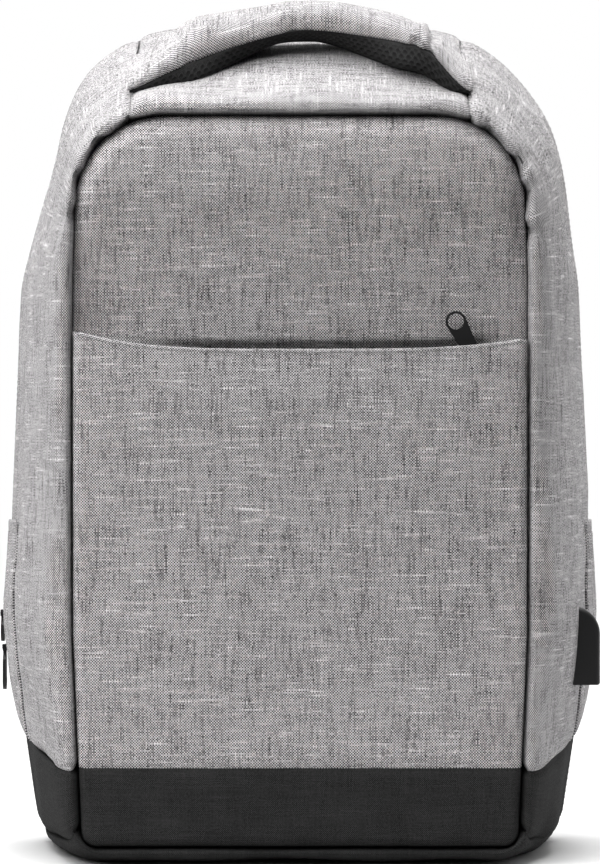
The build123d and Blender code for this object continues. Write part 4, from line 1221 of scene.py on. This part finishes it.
# ------------------------------------------------------------------ shoulder straps
STRAP_WIDE, STRAP_NARROW, STRAP_THICK = 58.0, 36.0, 9.5
WEB_X, WEB_WIDTH = 120.0, 25.0
STRAP_LINE = ((38, 61.0, 401.0), (38, 66.0, 402.5), (38.3, 74.0, 398.5), (39.0, 79.0, 390.0), (40, 80.4, 380.0),
              (41.5, 80.5, 362.0), (46, 80.5, 330.0), (54.5, 80.5, 299.0), (66, 80.5, 270.0), (92, 80.5, 215.0),
              (112, 80.5, 170.0), (119.0, 80.5, 149.0), (120, 80.5, 140.0))
for side, sign in SIDES:
    path = curve(STRAP_LINE, 1.6) * (sign, 1, 1)
    s = arc_lengths(path)
    f = s / s[-1]
    width = STRAP_WIDE - (STRAP_WIDE - STRAP_NARROW) * smooth((f - 0.15) / 0.75)
    thick = STRAP_THICK - 2.0 * bump(s[-1] - s, 8.0) - 3.5 * bump(s, 12.0)
    across, out = frames(path)
    if np.mean(out[:, 1]) < 0:
        out = -out
    rings = []
    for p, w, t, a, o in zip(path, width, thick, across, out):
        ring = rounded(w - 3.0, t, 64, 5.0)
        side_share = np.clip(1 - (np.abs(ring[:, 0]) / (w / 2)) ** 4, 0, 1)
        ring[:, 1] *= 0.86 + 0.14 * side_share
        rings.append(p + ring @ np.stack([a, o]))
    rings = np.stack(rings)
    edges = kd_tree(np.concatenate([path + across * (e * (width / 2 - 3.0))[:, None] for e in (-1, 1)]))
    swell = inflate(f"strap_trial_{side}", rings.reshape(-1, 3), ring_faces(*rings.shape[:2]),
                    lambda p: np.array([edges.find(q)[2] < 4.5 for q in p]) | (p[:, 2] < 156) | (p[:, 2] > 396),
                    STRAP_SWELL)
    rings = rings + swell(rings)
    uneven = 0.35 * waves(rings, 42.0, 101 + sign)
    rings = rings + out[:, None] * uneven[..., None]
    angle = np.linspace(0, 2 * PI, 64, endpoint=False)
    pick = [0 if 0 <= a < PI else 1 for a in angle]
    around = arc_lengths(rings[60])
    # the strap's underside mesh has no holes in its shape: they are only painted shade
    hole = pits(around[None, :], s[:, None], 3.6, 2.1, 1.0, 0.75) * (angle > PI)
    pad = skin(f"strap_{side}_padding", rings, (melange, spacer), coords(around[None, :] + 500, s[:, None], 0.0),
               pick=pick, hole_shade=hole)
    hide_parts(f"shoulder_strap_{side}", f"strap_anchor_{side}")
    bound = [(pad, "grey_melange")]
    for edge in (-1, 1):
        rim = path + across * (edge * (width / 2 - 1.2))[:, None]
        tag = "outer" if edge == sign else "inner"
        section = sections(rim, across, out, np.full(len(rim), 3.2), thick * 0.9 + 0.4, 14, 2.4)
        bound.append((skin(f"strap_{side}_binding_{tag}", section, (binding,)), "binding"))
    for piece, slot in bound:
        stretch(piece)

    def web(name, points, radius, step, thick=1.4, closed=False):
        """Webbing along points of depth and height, at the strap's lower end."""
        line = rounded_path(points, radius, step)
        line = line[:-1] if closed else line
        return band(name, coords(WEB_X * sign, line[:, 0], line[:, 1]), WEB_WIDTH, thick, webbing, closed=closed,
                    square=9.0)

    dress(web(f"strap_{side}_loop", [(79.2, 156.0), (77.0, 140.0), (76.8, 124.1), (84.3, 124.1), (84.2, 140.0),
                                     (81.9, 156.0)], 2.2, 0.8), f"strap_{side}", "webbing")
    dress(web(f"lock_{side}_webbing", [(80.5, 111.3), (83.8, 111.3), (83.8, 122.3), (77.2, 122.3), (77.2, 111.3),
                                       (80.5, 111.3)], 1.6, 0.6, closed=True),
          f"strap_{side}", "webbing", f"lock_webbing_{side}")
    piece = web(f"lower_webbing_{side}_tape", [(62.4, 19.0), (62.6, 38.0), (73.2, 62.0), (73.2, 112.0)], 9.0, 1.2)
    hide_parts(f"lower_webbing_{side}")
    stretch(piece)
    dress(web(f"strap_tail_{side}_tape", [(75.5, 109.0), (75.4, 80.0), (75.6, 47.0), (76.9, 47.0), (76.9, 59.0)],
              0.55, 0.8, 1.2), f"strap_tail_{side}", "webbing", f"strap_tail_{side}")
    # corner patch under the webbing
    corners = np.array([(104.0, 15.0), (134.0, 15.0), (133.0, 42.0), (112.0, 42.0)])
    u, v = np.meshgrid(np.linspace(0, 1, 30), np.linspace(0, 1, 28), indexing="ij")
    shares = ((1 - u) * (1 - v), u * (1 - v), u * v, (1 - u) * v)
    x, z = sum(share * corner[:, None, None] for share, corner in zip(shares, corners))
    rim_d = 30 * np.min([u, 1 - u, v, 1 - v], axis=0)
    p = coords(sign * x, BOARD_Y + 1.3 * quarter(rim_d, 2.0), z)
    piece = shell(f"corner_patch_{side}", p, coords(x, z, 0.0), 1.4, DARK, outward=facing(p, 1))
    dress(piece, "back_panel", "charcoal_fabric", *(("corner_tabs",) if side == "right" else ()))
    for column in (2, 24):
        sew_back(coords(sign * x[2:28, column], 62.4, z[2:28, column]))

# hinge strip under the rear edge
x, y = np.meshgrid(np.linspace(-118, 118, 90), np.linspace(40.6, 48.6, 14), indexing="ij")
p = coords(x, y, 0.9 + 0.9 * bump(y - 44.6, 2.0) + 0.1 * waves(coords(x, y), 20, 5))
piece = shell("hinge_strip_cloth", p, coords(x, y, 0.0), 0.8, DARK, outward=-facing(p, 2))
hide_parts("hinge_strip")
stretch(piece)


# ------------------------------------------------------------------ inside
def inner_pocket(name, box_x, box_z, near_y, far_y, body, replaced, radius):
    """Flat pocket sewn to an inner wall at near_y and standing off it to far_y, open at the top."""
    x, z = np.meshgrid(np.linspace(*box_x, 70), np.linspace(*box_z, 80), indexing="ij")
    d = np.minimum(np.minimum(x - box_x[0], box_x[1] - x), z - box_z[0])
    sway = 0.8 * waves(coords(x, z), 60.0, 7) * smooth(d / 20)
    p = coords(x, near_y + (far_y - near_y) * quarter(d, radius) + sway, z)
    piece = shell(name, p, coords(x, z, 0.0), 1.2, (lining, lining), outward=facing(p, 1) * np.sign(far_y - near_y))
    dress(piece, body, "lining", replaced)
    dress(band(f"{name}_hem", p[:, -1], 9.0, 2.6, binding, side=(0, 0, 1), count=16, square=6.0), body, "lining")


inner_pocket("laptop_sleeve_cloth", (-122, 122), (20, 279), 57.5, 33.5, "back_panel", "laptop_sleeve", 12.0)
inner_pocket("battery_pocket_cloth", (20, 100), (60, 188), -60.0, -45.5, "bag", "battery_pocket", 9.0)
path = rounded_path([(48, -58.0), (56.5, -58.0), (57.0, -51.6), (63.0, -51.6), (63.5, -58.0), (72, -58.0)], 1.6, 0.8)
for k, z in enumerate((140.0, 190.0)):
    piece = band(f"cable_keeper_{k}", coords(path[:, 0], path[:, 1], z), 10.0, 1.0, binding, side=(0, 0, 1), count=16,
                 square=8.0)
    dress(piece, "bag", "lining", *(("cable_keepers",) if k == 0 else ()))

# ------------------------------------------------------------------ moulded parts keep their CAD shape
BEVEL_ANGLE = math.radians(35)


def finish_node(name, material, bevel, segments=2):
    """Gives a CAD node its material and a small bevel in mm on its sharp edges."""
    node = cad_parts[name]
    if not node.material_slots:
        node.data.materials.append(material)
    for held in node.material_slots:
        held.link = "OBJECT"
        held.material = material
    if bevel:
        edge = node.modifiers.new("edge", "BEVEL")
        edge.width, edge.segments = bevel * MM, segments
        edge.limit_method, edge.angle_limit = "ANGLE", BEVEL_ANGLE
        edge.harden_normals = False


MOULDED = (
    (rubber, 0.3, 3, ("pocket_puller", "main_puller_lower", "main_puller_upper")),
    (metal_dark, 0.25, 3, ("pocket_slider", "main_slider_lower", "main_slider_upper")),
    (plastic, 0.4, 3, ("usb_housing", "usb_socket_carrier", "usb_backplate", "usb_plug", "ladder_lock_left",
                       "ladder_lock_right")),
    (tongue, 0.15, 2, ("usb_tongue",)),
    (steel, 0.12, 2, ("usb_socket",)),
    (steel, 0.1, 2, ("usb_screws",)),
    (cable_skin, 0, 2, ("charging_cable",)),
    (board_mat, 0.4, 2, ("base_board",)),
)
for material, bevel, segments, names in MOULDED:
    for name in names:
        finish_node(name, material, bevel, segments)

# ------------------------------------------------------------------ stage, camera and light
CAMERA_PLACE, CAMERA_LENS, CAMERA_SENSOR = (0.0, -2.0, 0.2085), 166.7, 36.0       # metres, mm, mm
FLOOR_SIDE, FLOOR_FRONT = 3000, -300
WORLD_LIGHT, WORLD_SEEN = 0.08, 1.0
SUN_POWER, SUN_ANGLE, SUN_TILT = 5.3, math.radians(50), math.radians(-4)
# name, place, target, size and power of each area light
LIGHTS = (
    ("near_light", (0.0, -0.60, 1.0), (0, -0.03, 0.36), (0.8, 0.4), 4.4),
    ("key_light", (-0.48, -0.42, 0.58), (0, -0.03, 0.24), (0.4, 0.5), 3.4),
    ("rear_light", (0.3, 1.9, 1.3), (0, 0, 0.25), (1.4, 1.2), 14.0),
    ("left_light", (-1.6, -0.2, 0.7), (0, 0, 0.22), (1.0, 1.6), 2.5),
    ("right_light", (1.1, 0.6, 0.7), (0, 0, 0.22), (1.0, 1.6), 8.0),
)


def place_object(name, data, turn, place=(0, 0, 0)):
    """Links an object for a camera or light."""
    made = bpy.data.objects.new(name, data)
    bpy.context.scene.collection.objects.link(made)
    made.location, made.rotation_euler = place, turn
    return made


bpy.context.scene.view_settings.view_transform = "Standard"
lens = bpy.data.cameras.new("camera")
lens.lens, lens.sensor_width = CAMERA_LENS, CAMERA_SENSOR
bpy.context.scene.camera = place_object("camera", lens, (PI / 2, 0, 0), CAMERA_PLACE)

paper = Nodes("floor_paper")
paper.close(paper.ramp(paper.grain(40.0, 3.0), (0.3, grey(0.60)), (0.7, grey(0.62))), Roughness=0.9)
floor = make_object("floor", [(x, y, 0) for x, y in ((-FLOOR_SIDE, FLOOR_FRONT), (FLOOR_SIDE, FLOOR_FRONT),
                                                     (FLOOR_SIDE, FLOOR_SIDE), (-FLOOR_SIDE, FLOOR_SIDE))],
                    [(0, 1, 2, 3)], materials=(paper.material,))

world = bpy.data.worlds.new("studio")
bpy.context.scene.world = world
world.use_nodes = True
tree = world.node_tree
back, bright = tree.nodes["Background"], tree.nodes.new("ShaderNodeBackground")
for background, strength in ((back, WORLD_LIGHT), (bright, WORLD_SEEN)):
    background.inputs["Color"].default_value = (1, 1, 1, 1)
    background.inputs["Strength"].default_value = strength
rays = tree.nodes.new("ShaderNodeLightPath")
mixed = tree.nodes.new("ShaderNodeMixShader")
for k, output in enumerate((rays.outputs["Is Camera Ray"], back.outputs[0], bright.outputs[0])):
    tree.links.new(output, mixed.inputs[k])
tree.links.new(mixed.outputs[0], tree.nodes["World Output"].inputs["Surface"])

sun = bpy.data.lights.new("overhead", "SUN")
sun.energy, sun.angle = SUN_POWER, SUN_ANGLE
place_object("overhead", sun, (SUN_TILT, SUN_TILT, 0))
for name, place, target, size, power in LIGHTS:
    light = bpy.data.lights.new(name, "AREA")
    light.shape, light.energy = "RECTANGLE", power
    light.size, light.size_y = size
    place_object(name, light, (Vector(target) - Vector(place)).to_track_quat("-Z", "Y").to_euler(), place)

# ------------------------------------------------------------------ stitches, one object for each body and colour
threads = {}
for colour, tone in (("grey", 0.2), ("dark", 0.022)):
    t = Nodes(f"thread_{colour}")
    threads[colour] = t.close(t.ramp(t.grain(2500.0, 2.0), (0.3, grey(tone * 0.7)), (0.7, grey(tone * 1.25))),
                              Roughness=0.7)
for group, (verts, faces) in all_stitches.items():
    body, colour = group.rsplit("_", 1)
    piece = make_object(f"stitches_{group}", np.concatenate(verts), faces, materials=(threads[colour],))
    dress(piece, body, "grey_melange" if colour == "grey" else "charcoal_fabric")
